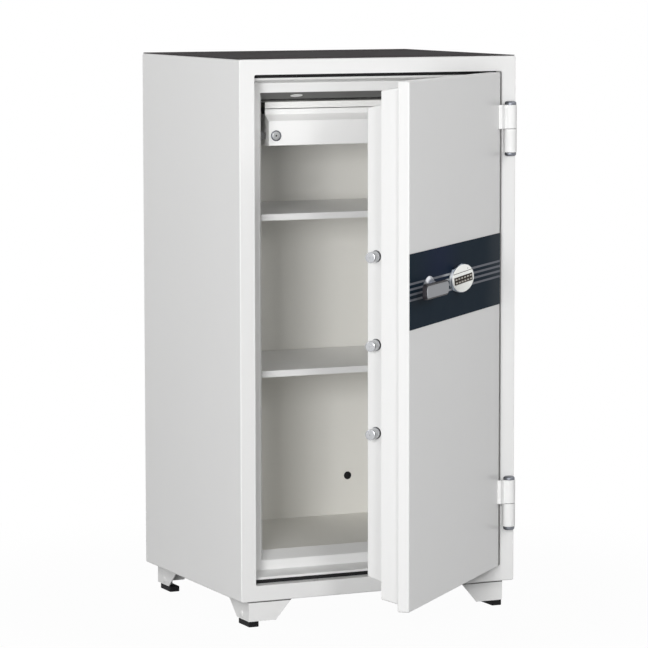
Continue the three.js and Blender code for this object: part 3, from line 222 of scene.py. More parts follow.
def block(x0, x1, y0, y1, z0, z1, corner, edge):
    """A block whose outline in (x, y) has rounded corners and whose top and bottom edges are rounded."""
    outline = rounded([[x0, y0], [x1, y0], [x1, y1], [x0, y1]], corner, closed=True)
    t = np.linspace(0, math.pi / 2, 4)
    inset = np.concatenate([edge * (1 - np.sin(t)), edge * (1 - np.cos(t))])
    level = np.concatenate([z0 + edge * (1 - np.cos(t)), z1 - edge + edge * np.sin(t)])
    middle = np.array([(x0 + x1) / 2, (y0 + y1) / 2])
    reach = np.array([(x1 - x0) / 2, (y1 - y0) / 2])
    flat = middle + (outline - middle)[None] * (1 - inset[:, None, None] / reach)
    return skin(np.concatenate([flat, np.broadcast_to(level[:, None, None], flat[..., :1].shape)], -1))


def level_ring(outline, z):
    """An outline in (x, y) at one height."""
    return np.column_stack([outline[:, :2], np.full(len(outline), z)])


def extruded(outline, axis, low, high, radii=0.0):
    """An outline carried straight along x or z, its corners rounded."""
    line = rounded(outline, radii, 3, closed=True) if np.max(radii) > 0 else np.asarray(outline, float)
    order = {"x": [2, 0, 1], "z": [0, 1, 2]}[axis]
    return skin([level_ring(line, h)[:, order] for h in (low, high)])


def holed(a_skin, bars):
    """The skin with other skins cut out of it by an exact Boolean."""
    objects = []
    for points, faces in [a_skin, *bars]:
        mesh = bpy.data.meshes.new("cut")
        mesh.from_pydata(points.tolist(), [], faces)
        objects.append(bpy.data.objects.new("cut", mesh))
        bpy.context.scene.collection.objects.link(objects[-1])
    for cutter in objects[1:]:
        cut = objects[0].modifiers.new("cut", "BOOLEAN")
        cut.operation, cut.solver, cut.object = "DIFFERENCE", "EXACT", cutter
    mesh = objects[0].evaluated_get(bpy.context.evaluated_depsgraph_get()).to_mesh()
    points = np.empty(len(mesh.vertices) * 3)
    mesh.vertices.foreach_get("co", points)
    faces = [list(f.vertices) for f in mesh.polygons]
    for o in objects:
        bpy.data.objects.remove(o)
    return points.reshape(-1, 3), faces


# Finishes
class Value:
    """One output in a finish's node tree. Arithmetic on it adds Math nodes, so a mask reads as a formula."""

    def __init__(self, finish, socket):
        self.finish, self.socket = finish, socket

    def math(self, operation, *others):
        """What a Math node makes of this value and the others."""
        terms = dict(enumerate((self, *others)))
        return self.finish.node("ShaderNodeMath", {"operation": operation}, terms)

    def __add__(self, other):
        return self.math("ADD", other)

    __radd__ = __add__

    def __mul__(self, other):
        return self.math("MULTIPLY", other)

    __rmul__ = __mul__

    def __sub__(self, other):
        return self.math("SUBTRACT", other)

    def __rsub__(self, other):
        return self * -1 + other

    def above(self, edge, soft):
        """0 below the edge and 1 above it, over a soft width."""
        return self.finish.node(
            "ShaderNodeMapRange",
            {"interpolation_type": "SMOOTHSTEP"},
            {"Value": self, "From Min": edge - soft / 2, "From Max": edge + soft / 2},
        )

    def stripe(self, middle, width, soft):
        """1 within a stripe about the middle and 0 outside it."""
        away = (self - middle).math("ABSOLUTE")
        return 1 - away.above(width / 2, soft)


class Finish:
    """A material: its principled shader, and a method that adds any other node."""

    def __init__(self, name, **settings):
        self.material = bpy.data.materials.new(name)
        self.material.use_nodes = True
        self.tree = self.material.node_tree
        self.tree.nodes.clear()
        self.shader = self.tree.nodes.new("ShaderNodeBsdfPrincipled")
        self.output = self.tree.nodes.new("ShaderNodeOutputMaterial")
        self.tree.links.new(self.shader.outputs[0], self.output.inputs[0])
        self.place = self.node("ShaderNodeTexCoord", {}, {}, "Object")
        for key, value in settings.items():
            self.set(key.replace("_", " ").title().replace("Ior", "IOR"), value)

    def node(self, kind, settings, inputs, output=0):
        """Adds a node with its settings and its inputs' values or links, and gives one of its outputs."""
        made = self.tree.nodes.new(kind)
        for key, value in settings.items():
            setattr(made, key, value)
        for key, value in inputs.items():
            self.join(made.inputs[key], value)
        return Value(self, made.outputs[output])

    def join(self, socket, value):
        """Links a value to a socket, or sets the socket to a number or a colour."""
        if isinstance(value, Value):
            self.tree.links.new(value.socket, socket)
        elif isinstance(value, tuple) and len(socket.default_value) == 4:
            socket.default_value = (*value, 1)
        else:
            socket.default_value = value

    def set(self, name, value):
        self.join(self.shader.inputs[name], value)

    def blend(self, mask, first, second):
        """The first colour where the mask is 0 and the second where it is 1."""
        return self.node("ShaderNodeMix", {"data_type": "RGBA"}, {0: mask, 6: first, 7: second}, 2)

    def along(self, direction):
        """The distance along a direction, in metres."""
        inputs = {0: self.place, 1: direction}
        return self.node("ShaderNodeVectorMath", {"operation": "DOT_PRODUCT"}, inputs, "Value")

    def noise(self, scale, detail, stretch=None):
        """Noise with about `scale` cells to the metre, squeezed along the axes by `stretch`."""
        where = self.place
        if stretch:
            where = self.node("ShaderNodeVectorMath", {"operation": "MULTIPLY"}, {0: where, 1: stretch})
        return self.node("ShaderNodeTexNoise", {}, {"Vector": where, "Scale": scale, "Detail": detail})

    def bump(self, height, distance):
        """Raises the surface by the height, 1 of it standing for the distance in metres."""
        inputs = {"Height": height, "Distance": distance}
        self.set("Normal", self.node("ShaderNodeBump", {}, inputs, "Normal"))


def throat_ceiling_shade(f):
    """1 on the jamb's slanting top behind its second ledge, where z + slope y is greatest: there the paint is
    darkened as painted shade.
    """
    slope = (THROAT_END[1] - THROAT_END[0]) / THROAT_RUN
    ledge_y, ledge_z = FRONT + LEDGE_2, SLAB_HIGH - THROAT_END[0]
    behind_ledge = f.along(BACKWARDS).above((ledge_y + 0.8) * MM, 1 * MM)
    return behind_ledge * f.along((0.0, slope, 1.0)).above((ledge_z + ledge_y * slope - 1.6) * MM, 1 * MM)


def bracket_joint_shade(f):
    """1 along a foot bracket's upper edge, where it meets the body's underside: there the paint is darkened
    as painted shade of the gap.
    """
    shade_height = 4.2 * MM
    return f.along(UPWARDS).above(-shade_height, 0.4 * MM)


def paint(name, colour, rough, coat=0.0, peel=0.00003, level=0.5, painted_shade=None):
    """Stoved powder paint: orange peel of about 1.4 mm, faint clouding, and gloss that varies a little.
    Where the mask that comes last is 1, a dark grey painted shade covers the paint."""
    f = Finish(name, coat_weight=coat, coat_roughness=0.12, specular_ior_level=level)
    cloud = f.noise(3.5, 3)
    fine = f.noise(700, 2)
    darker = tuple(c * 0.96 for c in colour)
    shown = f.blend(cloud * 0.6 + fine * 0.4, darker, colour)
    if painted_shade:
        # painted shade: dark grey where the mask is 1
        shown = f.blend(painted_shade(f), shown, f.blend(cloud, (0.09, 0.09, 0.088), (0.13, 0.13, 0.126)))
    f.set("Base Color", shown)
    f.set("Roughness", f.noise(24, 3) * 0.1 + (rough - 0.05))
    f.bump(f.noise(720, 3) + f.noise(180, 2) * 0.6, peel)
    return f


def metal(name, colour, rough, grain=(1.0, 1.0, 0.03)):
    """Steel with fine lines along one direction, and slight stains in its colour and gloss."""
    f = Finish(name, metallic=1.0)
    lines = f.noise(2600, 2, grain)
    stain = f.noise(60, 3)
    f.set("Base Color", f.blend(stain * 0.5 + lines * 0.5, tuple(c * 0.82 for c in colour), colour))
    f.set("Roughness", lines * 0.14 + stain * 0.06 + (rough - 0.1))
    f.bump(lines, 0.00001)
    return f


def lit_chrome(name, glint, dark):
    """Chrome round the handle and the lock, whose colour paints its light: dark as a painted reflection of
    the band, and a painted highlight where the mask `glint` is 1."""
    f = Finish(name, metallic=1.0)
    stain = f.noise(90, 3)
    f.set("Base Color", f.blend(glint(f) * 0.9 + stain * 0.1, dark, (0.82, 0.84, 0.88)))
    f.set("Roughness", 0.26 + stain * 0.06)
    f.bump(f.noise(1800, 2), 0.000006)
    return f


def collar_glint(f):
    """Painted highlight: 1 across the collar a little above its middle."""
    return f.along(UPWARDS).stripe((BAND_Z + 10) * MM, 11 * MM, 12 * MM)


def hub_glint(f):
    """Painted highlight: 1 on the hub's foot, 0 on its waist and 0.3 on its neck, by the distance out from
    the band. The half away from the free edge keeps 0.35 of that."""
    away = f.along(DOOR_OUT) - on_band(HANDLE_X) @ DOOR_OUT * MM
    middle = on_band(HANDLE_X - 7) @ DOOR_ALONG * MM
    far_half = f.along(DOOR_ALONG).above(middle, 9 * MM)
    foot_and_neck = 1 - away.above(4.5 * MM, 3 * MM) + away.above(11 * MM, 2 * MM) * 0.3
    return foot_and_neck * (1 - far_half * 0.65)


def plastic(name, colour, rough, grain=900, depth=0.00003, level=0.5):
    """Moulded plastic with a fine spark-eroded grain."""
    f = Finish(name, specular_ior_level=level)
    fine = f.noise(grain, 2)
    f.set("Base Color", f.blend(fine, tuple(c * 0.85 for c in colour), colour))
    f.set("Roughness", fine * 0.12 + (rough - 0.06))
    f.bump(fine, depth)
    return f


def banded():
    """The dark band with its four silver lines. It is bluer above the handle. It is greyer towards the
    hinges, a painted reflection, and the lines are bright beside the lock, a painted reflection of the
    collar."""
    f = Finish("band enamel", specular_ior_level=0.01)
    across, up = f.along(DOOR_ALONG), f.along(UPWARDS)
    lines = sum(up.stripe(z * MM, 4.5 * MM, 0.5 * MM) for z in (706.4, 695.5, 684.7, 673.4))
    lock = on_band(LOCK_CENTRE[0]) @ DOOR_ALONG * MM
    ground = f.blend(f.noise(500, 2), (0.006, 0.015, 0.026), (0.008, 0.019, 0.032))
    bluer = across.stripe(lock - 0.1, 0.16, 0.2) * up.above(BAND_Z * MM, 0.08)
    ground = f.blend(bluer * 0.6, ground, (0.008, 0.014, 0.048))
    # painted reflection: greyer towards the hinges
    ground = f.blend(across.above(lock + 0.24, 0.14) * 0.7, ground, (0.05, 0.06, 0.07))
    silver = f.blend(f.noise(1500, 2), (0.16, 0.17, 0.195), (0.22, 0.23, 0.26))
    # painted reflection: the lines brighten beside the lock
    silver = f.blend(across.stripe(lock - 0.055, 0.03, 0.05) * 0.8, silver, (0.6, 0.62, 0.66))
    f.set("Base Color", f.blend(lines, ground, silver))
    f.set("Roughness", 0.42 - lines * 0.04 + f.noise(30, 2) * 0.06)
    f.bump(lines * 0.6 + f.noise(700, 2) * 0.1, 0.0001)
    return f


def top_sheet():
    """Charcoal paint with a soft texture, rubbed glossier and darker in wide patches."""
    f = Finish("charcoal paint", specular_ior_level=0.01)
    worn = f.noise(5, 4, (1.0, 2.2, 1.0)).above(0.52, 0.3)
    fine = f.noise(900, 2)
    grey = f.blend(fine, (0.06, 0.053, 0.055), (0.085, 0.075, 0.078))
    f.set("Base Color", f.blend(worn, grey, (0.033, 0.031, 0.032)))
    f.set("Roughness", 0.75 - worn * 0.2)
    f.bump(fine, 0.00004)
    return f


def carrier_finish():
    """The drawer's carrier: its rail is painted white. The side plates and the runners are bare dark steel,
    and the plate above the rail gets the same dark steel colour as painted shade."""
    f = Finish("drawer carrier", specular_ior_level=0.35)
    beside = f.along(SIDEWAYS).math("ABSOLUTE").above((RAIL_HALF + 0.4) * MM, 0.2 * MM)
    # dark steel beside the rail, and painted shade on the plate above it
    outer = beside.math("MAXIMUM", f.along(UPWARDS).above((RAIL_TOP + 0.4) * MM, 0.2 * MM))
    stain = f.noise(120, 3)
    white = f.blend(stain, (0.88, 0.88, 0.87), (0.92, 0.92, 0.91))
    f.set("Base Color", f.blend(outer, white, f.blend(stain, (0.09, 0.09, 0.09), (0.2, 0.2, 0.2))))
    f.set("Metallic", outer * 0.8)
    f.set("Roughness", 0.4 + stain * 0.08)
    f.bump(f.noise(720, 3), 0.00002)
    return f


def filler():
    """Cast mineral filling: coarse grains and pores."""
    f = Finish("cast filling")
    coarse = f.noise(140, 6)
    pores = f.node("ShaderNodeTexVoronoi", {}, {"Vector": f.place, "Scale": 220.0}, "Distance")
    f.set("Base Color", f.blend(coarse, (0.36, 0.34, 0.29), (0.56, 0.53, 0.46)))
    f.set("Roughness", 0.9 + coarse * 0.08)
    f.bump(coarse + pores * 0.5, 0.0006)
    return f


FINISH = {
    "body_paint": paint("white powder paint", (0.84, 0.84, 0.835), 0.5, level=0.3),
    # the jamb's slanting top is darkened as painted shade
    "jamb_paint": paint("jamb paint", (0.84, 0.84, 0.835), 0.5, level=0.3, painted_shade=throat_ceiling_shade),
    # the brackets' upper edge is darkened as painted shade of the gap under the body
    "bracket_paint": paint("bracket paint", (0.84, 0.84, 0.835), 0.5, level=0.3, painted_shade=bracket_joint_shade),
    "door_paint": paint("glossy door paint", (0.8, 0.8, 0.796), 0.34, coat=0.2, peel=0.00002, level=0.3),
    "top_paint": top_sheet(),
    "interior_paint": paint("interior paint", (0.85, 0.84, 0.8), 0.5, level=0.3),
    "drawer_paint": paint("drawer paint", (0.93, 0.93, 0.925), 0.42, level=0.4),
    "carrier_steel": carrier_finish(),
    "shelf_paint": paint("shelf paint", (0.83, 0.83, 0.825), 0.34, coat=0.15),
    "band_paint": banded(),
    "hinge_steel": metal("hinge cap steel", (0.2, 0.21, 0.235), 0.42),
    # chrome with painted reflections and painted highlights
    "lock_chrome": lit_chrome("lock collar chrome", collar_glint, (0.2, 0.23, 0.27)),
    "hub_chrome": lit_chrome("hub chrome", hub_glint, (0.1, 0.11, 0.14)),
    "latch_steel": metal("latch steel", (0.72, 0.73, 0.74), 0.38),
    "bolt_steel": metal("bolt steel", (0.55, 0.56, 0.58), 0.26),
    "zinc_steel": metal("zinc-plated steel", (0.42, 0.43, 0.45), 0.4),
    "chrome": metal("polished chrome", (0.7, 0.71, 0.73), 0.16),
    "satin_metal": metal("satin grey metal", (0.25, 0.256, 0.274), 0.4, (1.0, 1.0, 12.0)),
    "seal_rubber": plastic("seal rubber", (0.016, 0.016, 0.017), 0.75, 300, 0.0001, 0.2),
    "pad_rubber": plastic("pad rubber", (0.008, 0.008, 0.009), 0.7, 400, 0.0001, 0.15),
    "filler": filler(),
    "lever_plastic": plastic("lever plastic", (0.012, 0.01, 0.014), 0.4, level=0.2),
    "lock_plastic": plastic("lock face plastic", (0.93, 0.94, 0.91), 0.4, 600, 0.00002, 0.3),
    "keypad_plastic": plastic("keypad plastic", (0.045, 0.036, 0.03), 0.5, level=0.2),
    "key_plastic": plastic("key plastic", (0.05, 0.042, 0.036), 0.5, level=0.2),
    "key_face": plastic("key face", (0.55, 0.53, 0.48), 0.5, level=0.3),
    "plug_plastic": plastic("white plug", (0.85, 0.85, 0.84), 0.35),
}
SLOT = {s["node"]: s["material_slot"] for s in frame["record"]["subparts"]}


def dress(mesh, *finishes):
    """Gives a mesh these finishes as its material slots."""
    mesh.materials.clear()
    for f in finishes:
        mesh.materials.append(f.material)


def piece(name, body, nodes, *parts, slot=None):
    """Joins (skin, finish name) parts into one mesh that rides on a body and stands for CAD nodes."""
    points, faces, index, names = [], [], [], []
    start = 0
    for (p, f), finish_name in parts:
        if finish_name not in names:
            names.append(finish_name)
        points.append(p)
        faces += [[start + i for i in face] for face in f]
        index += [names.index(finish_name)] * len(f)
        start += len(p)
    mesh = bpy.data.meshes.new(name)
    mesh.from_pydata((np.concatenate(points) * MM).tolist(), [], faces)
    dress(mesh, *(FINISH[n] for n in names))
    mesh.polygons.foreach_set("material_index", index)
    mesh.polygons.foreach_set("use_smooth", [True] * len(faces))
    mesh.set_sharp_from_angle(angle=math.radians(35))
    made = bpy.data.objects.new(name, mesh)
    bpy.context.scene.collection.objects.link(made)
    made.modifiers.new("flat faces first", "WEIGHTED_NORMAL").keep_sharp = True
    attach(made, body)
    if nodes:
        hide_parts(*nodes)


# A node that stays takes the finish of its slot, apart from these and the feet's brackets
FINISH_OF_NODE = {"drawer_carrier": "carrier_steel", "drawer_box": "drawer_paint"}
for node_name, node in frame["nodes"].items():
    if node_name.startswith("foot_bracket"):
        chosen = "bracket_paint"
    else:
        chosen = FINISH_OF_NODE.get(node_name, SLOT[node_name])
    dress(node.data, FINISH[chosen])


# The cabinet
def casing():
    """One wrapped sheet: its profile runs from the doorway's edge over the border and the rounded front
    corner to the back, and returns inside. A shallow field is pressed into the underside."""
    back = 547.7
    outer = [
        door_row(0, -DOOR_GAP),
        [0, BODY_HALF, 0, BODY_TOP],
        [back, BODY_HALF, 0, BODY_TOP],
        [back, BODY_HALF - SHEET, SHEET, BODY_TOP - SHEET],
        [SHEET, BODY_HALF - SHEET, SHEET, BODY_TOP - SHEET],
        door_row(SHEET, -DOOR_GAP),
    ]
    shell = skin(frame_rings(outer, [0, 2.6, 0, 0, 0, 0]), closed=True)
    x, y = 207, 157
    field = extruded([[-x, -y], [x, -y], [x, y], [-x, y]], "z", -1, 0.5, 4)
    return holed(shell, [field])


def strike_cup(z):
    """A cup behind a hole of the jamb's slanting side: its mouth follows the side, x = edge + slope y."""
    t = np.linspace(0, 2 * math.pi, 40, endpoint=False)
    slope = (THROAT_SIDE[1] - THROAT_SIDE[0]) / THROAT_RUN

    def ring(radius, x=None):
        """A circle round the bolt's axis, at one x or on the slanting side."""
        y = BOLT_Y + radius * np.cos(t)
        mouth = -SLAB_HALF + THROAT_SIDE[0] + (y - FRONT - LEDGE_2) * slope - 1
        return np.stack([mouth if x is None else np.full(len(t), x), y, z + radius * np.sin(t)], -1)

    return skin([ring(CUP_R, CUP_END), ring(CUP_R), ring(CUP_HOLE_R), ring(CUP_HOLE_R, CUP_END + SHEET)])


def bolt_bars(radius, low, high):
    """A round bar from one x to another at each bolt's height, to cut the holes with."""
    line = [[radius, 0], [radius, high - low]]
    return [turned(line, (low, BOLT_Y, z), SIDEWAYS, 40) for z in BOLT_HEIGHTS]


def jamb():
    """The stepped frame in the doorway; its profile goes back ledge by ledge and returns behind the sheet."""
    near, far = STEP_NEAR - DOOR_GAP, STEP_FAR - DOOR_GAP
    line = [
        door_row(SHEET + FIT, -DOOR_GAP),
        door_row(LEDGE_1, -DOOR_GAP),
        door_row(LEDGE_1, near),
        door_row(LEDGE_2, far),
        door_row(LEDGE_2, THROAT_SIDE[0], THROAT_END[0]),
        door_row(JAMB_DEPTH, THROAT_SIDE[1], THROAT_END[1]),
        door_row(JAMB_DEPTH, THROAT_SIDE[1] - SHEET, THROAT_END[1] - SHEET),
        door_row(LEDGE_2 + SHEET, THROAT_SIDE[0] - SHEET, THROAT_END[0] - SHEET),
        door_row(LEDGE_2 + SHEET, far - SHEET),
        door_row(LEDGE_1 + SHEET, near - SHEET),
        door_row(LEDGE_1 + SHEET, -DOOR_GAP - SHEET),
        door_row(SHEET + FIT, -DOOR_GAP - SHEET),
    ]
    rings = frame_rings(line, [0, 1.2, 3.2, 1.2, 3.2, 0, 0, 1.2, 0, 1.2, 0, 0])
    return holed(skin(rings, closed=True), bolt_bars(CUP_HOLE_R, CUP_END, CUP_END + 47))


piece("casing", "cabinet", ["outer_casing"], (casing(), "body_paint"))
piece(
    "jamb",
    "cabinet",
    ["door_jamb"],
    (jamb(), "jamb_paint"),
    *[(strike_cup(z), "body_paint") for z in BOLT_HEIGHTS],
)


def shelf(name, top):
    """A sheet with its four edges folded down: rounded rectangles in (x, y) carried down the fold."""
    half, y0, y1, drop, sheet = CAVITY_HALF - 3.9, -157.0, 192.0, 14.0, 1.2
    fold = rounded([[1.4, 0], [0, 0], [0, -drop]], [0, 1.4, 0])
    rows = np.concatenate([fold, [[sheet, -drop], [sheet, -sheet]]])
    outline = np.array([[-half, y0], [half, y0], [half, y1], [-half, y1]])
    inwards = np.array([[1, 1], [-1, 1], [-1, -1], [1, -1]])
    rings = [level_ring(rounded(outline + inwards * s, 1.6, 3, closed=True), top + z) for s, z in rows]
    piece(name, "cabinet", [name], (skin(rings), "shelf_paint"))


shelf("shelf_lower", 476.67)
shelf("shelf_upper", 814.17)

ANCHOR = (141.0, 195.0, 178.67)
cap = [[1, -2.3], [6.5, -2.3], [8.3, -1.9], [9, -1.0], [9, -0.3], [6, -0.3], [6, 14]]
piece("anchor_cap", "cabinet", ["anchor_plug"], (turned(cap, ANCHOR, BACKWARDS, 40), "seal_rubber"))


# Feet
FOOT_CORNER_X, FOOT_FRONT_Y, FOOT_REAR_Y = 303.0, -263.0, 257.5
PAD_TOP, PAD_T, PAD_WIDE, PAD_LONG = -44.6, 12.0, 23.0, 58.0


def foot(end, hand):
    """A rubber pad on a threaded stud with its nut, and a domed plug in the bracket's cheek; the thread is
    a fine saw of rings. Each foot is made in its corner, with x and y inwards, and mirrored into place."""
    sx = -1 if hand == "left" else 1
    sy, corner_y, near = (-1, FOOT_FRONT_Y, 1) if end == "front" else (1, FOOT_REAR_Y, 13)

    def put(a_skin):
        """Mirrors a skin into its corner, and turns its faces where that leaves them inside out."""
        points, faces = a_skin
        points = np.asarray(points) * [-sx, -sy, 1.0] + [sx * FOOT_CORNER_X, corner_y, 0]
        return (points, [f[::-1] for f in faces]) if sx * sy < 0 else (points, faces)

    pad = block(1, 1 + PAD_WIDE, near, near + PAD_LONG, PAD_TOP - PAD_T, PAD_TOP, 2.5, 1.2)
    stud_x, stud_y, turns = 12.5, near + PAD_LONG / 2, 44
    radius = np.where(np.arange(turns) % 2, 6.0, 5.4)
    thread = np.column_stack([radius, np.linspace(PAD_TOP - 0.2, -2.6, turns)])
    stud = turned(thread, (stud_x, stud_y, 0), UPWARDS, 24)
    nut = turned([[8.6, 0], [10, 1], [10, 7], [8.6, 8]], (stud_x, stud_y, -10.6), UPWARDS, 6)
    name = f"{end}_{hand}"
    piece(
        f"foot_{name}",
        "cabinet",
        [f"foot_pad_{name}"],
        (put(pad), "pad_rubber"),
        (put(stud), "zinc_steel"),
        (put(nut), "zinc_steel"),
    )
    t = np.radians(np.linspace(0, 80, 7))
    dome = np.column_stack([8.4 * np.cos(t), 0.3 + 2.4 * np.sin(t)])
    plugged = turned(dome, (0, 38, -33), (-1, 0, 0), 32)
    piece(f"foot_plug_{name}", "cabinet", [], (put(plugged), "plug_plastic"), slot="body_paint")


for hand_name in ("left", "right"):
    foot("front", hand_name)
    foot("rear", hand_name)


# Hinges
KNUCKLE, BARREL_R, BORE_R = 51.0, 13.5, 7.3


def barrel(low, place):
    """A tube with rounded rims, round the pin."""
    line = [[BORE_R, 0], [BARREL_R, 0], [BARREL_R, KNUCKLE], [BORE_R, KNUCKLE]]
    line = rounded(line, [0.6, 1.5, 1.5, 0.6], closed=True)
    return turned(line, (*HINGE, low), UPWARDS, ROUND, True, place)


def hinge(name, z):
    """Two knuckles on a capped pin, with a washer between them: the cabinet's stands on a saddle with a
    round back, and the door's on a leaf that wraps the slab's corner."""
    hx, hy = HINGE
    t = np.radians(np.linspace(0, 180, 7))
    arc = np.column_stack([hx + 9 * np.cos(t), hy + 9 * np.sin(t)])
    weld = FRONT - FIT
    saddle = np.concatenate([[[hx - 9, weld], [hx + 14, weld], [hx + 14, hy]], arc])
    low = z - FIT - KNUCKLE
    piece(
        f"frame_knuckle_{name}",
        "cabinet",
        [f"hinge_frame_knuckle_{name}"],
        (barrel(low, None), "body_paint"),
        (extruded(saddle, "z", low, low + KNUCKLE), "body_paint"),
    )
    leaf = [
        [SLAB_HALF - 12.5, weld],
        [SLAB_HALF, weld],
        [SLAB_HALF + 2.5, weld - 2.5],
        [hx, hy + 12.5],
        [hx - 10, hy],
        [SLAB_HALF, weld - 11],
        [SLAB_HALF - 12.5, weld - 8],
    ]
    low = z + FIT
    piece(
        f"door_knuckle_{name}",
        "door",
        [f"hinge_door_knuckle_{name}"],
        (barrel(low, swung), "body_paint"),
        (moved(extruded(leaf, "z", low, low + KNUCKLE, [0.8, 0, 0, 0, 0, 1, 2.5]), swung), "body_paint"),
    )
    stop = KNUCKLE + 2 * FIT
    tip = stop + 7.5
    half = rounded([[7, 0], [7, stop], [12.5, stop], [12.5, tip], [2, tip]], [0, 0, 0.5, 4.5, 0], 6)[1:]
    pin = turned(np.concatenate([(half * [1, -1])[::-1], half]), (hx, hy, z), UPWARDS)
    piece(f"pin_{name}", "cabinet", [f"hinge_pin_{name}"], (pin, "hinge_steel"))
    washer = turned([[7.2, -0.2], [12.7, -0.2], [12.7, 0.2], [7.2, 0.2]], (hx, hy, z), UPWARDS, closed=True)
    piece(f"washer_{name}", "cabinet", [], (washer, "pad_rubber"), slot="hinge_steel")


hinge("lower", 175.0)
hinge("upper", 992.0)


# The door
def door_shell():
    """The slab and the step behind it, bent from one sheet, with the spindle's hole in its face."""
    folded, spindle_hole = 20, 5.6
    line = [
        door_row(0, folded),
        door_row(0, 0),
        door_row(SLAB_T, 0),
        door_row(SLAB_T, STEP_NEAR),
        door_row(STEP_BACK, STEP_FAR),
        door_row(STEP_BACK, STEP_FAR + SHEET),
        door_row(SLAB_T - SHEET, STEP_NEAR + SHEET),
        door_row(SLAB_T - SHEET, SHEET),
        door_row(SHEET, SHEET),
        door_row(SHEET, folded),
    ]
    rings = frame_rings(line, [0, 2.8, 2.8, 1.5, 0, 0, 0, 0, 0, 0], corner=3.5)
    first = hole_ring(rings[0], HANDLE_X, BAND_Z, spindle_hole)
    last = hole_ring(rings[-1], HANDLE_X, BAND_Z, spindle_hole)
    return skin(swung(np.concatenate([first[None], rings, last[None]])), closed=True)


def plug():
    """The folded pan at the door's back: a flange, tapering sides and a rounded edge, holed for the bolts."""
    front, sheet, flange = STEP_BACK + FIT, 1.5, 14
    share = FIT / (PLUG_BACK - STEP_BACK)
    side, end = 48 + 16 * share, 46 + 11 * share
    line = [
        door_row(PLUG_BACK - sheet, 80, 73),
        door_row(PLUG_BACK - sheet, 65.5, 58.5),
        door_row(front, side + sheet, end + sheet),
        door_row(front, side - flange, end - flange),
        door_row(front + sheet, side - flange, end - flange),
        door_row(front + sheet, side + 0.5, end + 0.5),
        door_row(PLUG_BACK, 64, 57),
        door_row(PLUG_BACK, 80, 73),
    ]
    rings = frame_rings(line, [0, 0, 0, 0, 0, 1.2, 3.0, 0])
    return moved(holed(skin(rings), bolt_bars(12.5, -SLAB_HALF, -210)), swung)


piece("door_shell", "door", ["door_outer"], (door_shell(), "door_paint"))
piece("door_plug", "door", ["door_inner_pan"], (plug(), "door_paint"))

for number, height in enumerate(BOLT_HEIGHTS, 1):
    line = rounded([[1.5, 0], [BOLT_R, 0], [BOLT_R, BOLT_LONG], [1.5, BOLT_LONG]], [0, 1.8, 0.5, 0], 5)
    line = np.concatenate([[[1.2, 0.6]], line])
    bolt = turned(line, (BOLT_TIP, BOLT_Y, height), SIDEWAYS, place=swung)
    piece(f"bolt_{number}", "boltwork", [f"sliding_bolt_{number}"], (bolt, "bolt_steel"))


# The handle
# The hub's length, its neck's radius, its foot's half width and half height, and how far the foot is shifted
HUB_LONG, HUB_NECK, HUB_WIDE, HUB_TALL, HUB_REACH = 22.5, 11.0, 34.0, 24.0, 10.0
# The lever's reach to each side of the hub's middle, its half height and its thickness with the gap behind
LEVER_OUT, LEVER_IN, LEVER_HALF, LEVER_T = 112.3, 26.0, 15.5, 10.0


def handle():
    """The hub is a trumpet: its ovals grow from a round neck at the lever to an oval foot on the band, by
    1 - cos t while its height = 20.5 sin t, and the foot reaches further towards the free edge. The lever is
    a paddle with a satin plate let into its face, and its corners are rounder at the hub's end."""
    back = BAND_FRONT - FIT - HUB_LONG
    t = np.linspace(0, math.pi / 2, 24)
    grown = 1 - np.cos(t)
    wide, tall = HUB_NECK + (HUB_WIDE - HUB_NECK) * grown, HUB_NECK + (HUB_TALL - HUB_NECK) * grown
    flare = np.column_stack([wide, tall, -HUB_REACH * grown, (HUB_LONG - 2) * np.sin(t)])
    rim = [
        [HUB_WIDE, HUB_TALL, -HUB_REACH, HUB_LONG - 0.4],
        [HUB_WIDE - 0.4, HUB_TALL - 0.4, -HUB_REACH, HUB_LONG],
    ]
    bore = [[5.3, 5.3, 0, HUB_LONG], [5.3, 5.3, 0, 6], [2, 2, 0, 6]]
    rows = np.concatenate([[[2, 2, 0, 0]], flare, rim, bore])
    around = np.linspace(0, 2 * math.pi, ROUND, endpoint=False)
    x = HANDLE_X + rows[:, 2:3] + rows[:, 0:1] * np.cos(around)
    z = BAND_Z + rows[:, 1:2] * np.sin(around)
    y = np.broadcast_to(back + rows[:, 3:4], x.shape)
    piece("hub", "handle", ["handle_hub"], (skin(swung(np.stack([x, y, z], -1))), "hub_chrome"))
    x0, x1, z0, z1 = HANDLE_X - LEVER_OUT, HANDLE_X + LEVER_IN, BAND_Z - LEVER_HALF, BAND_Z + LEVER_HALF
    face = back - LEVER_T

    def rings(rows, tip, tail):
        """The lever's rounded outline, set in by each row's rim at its depth."""
        made = []
        for rim, y in rows:
            box = [[x0 + rim, z0 + rim], [x1 - rim, z0 + rim], [x1 - rim, z1 - rim], [x0 + rim, z1 - rim]]
            outline = rounded(box, np.array([tip, tail, tail, tip]) - rim, 8, closed=True)
            made.append(np.column_stack([outline[:, 0], np.full(len(outline), y), outline[:, 1]]))
        return swung(np.array(made))

    t = np.linspace(0, math.pi / 2, 6)
    edge = 2.4
    behind = np.column_stack([edge * (1 - np.sin(t)), back - FIT - edge * (1 - np.cos(t))])
    before = np.column_stack([edge * (1 - np.cos(t)), face + edge * (1 - np.sin(t))])
    recess = [[2.8, face], [2.8, face + 1.2]]
    body = skin(rings(np.concatenate([behind, before, recess]), 8.5, 11.4))
    piece("lever", "handle", ["lever_body"], (body, "lever_plastic"))
    proud = face - 0.6
    rows = [[3.1, face + 0.9], [3.1, proud + 0.6], [3.28, proud + 0.18], [3.7, proud]]
    piece("lever_plate", "handle", ["lever_insert"], (skin(rings(rows, 9.5, 12.5)), "satin_metal"))


handle()


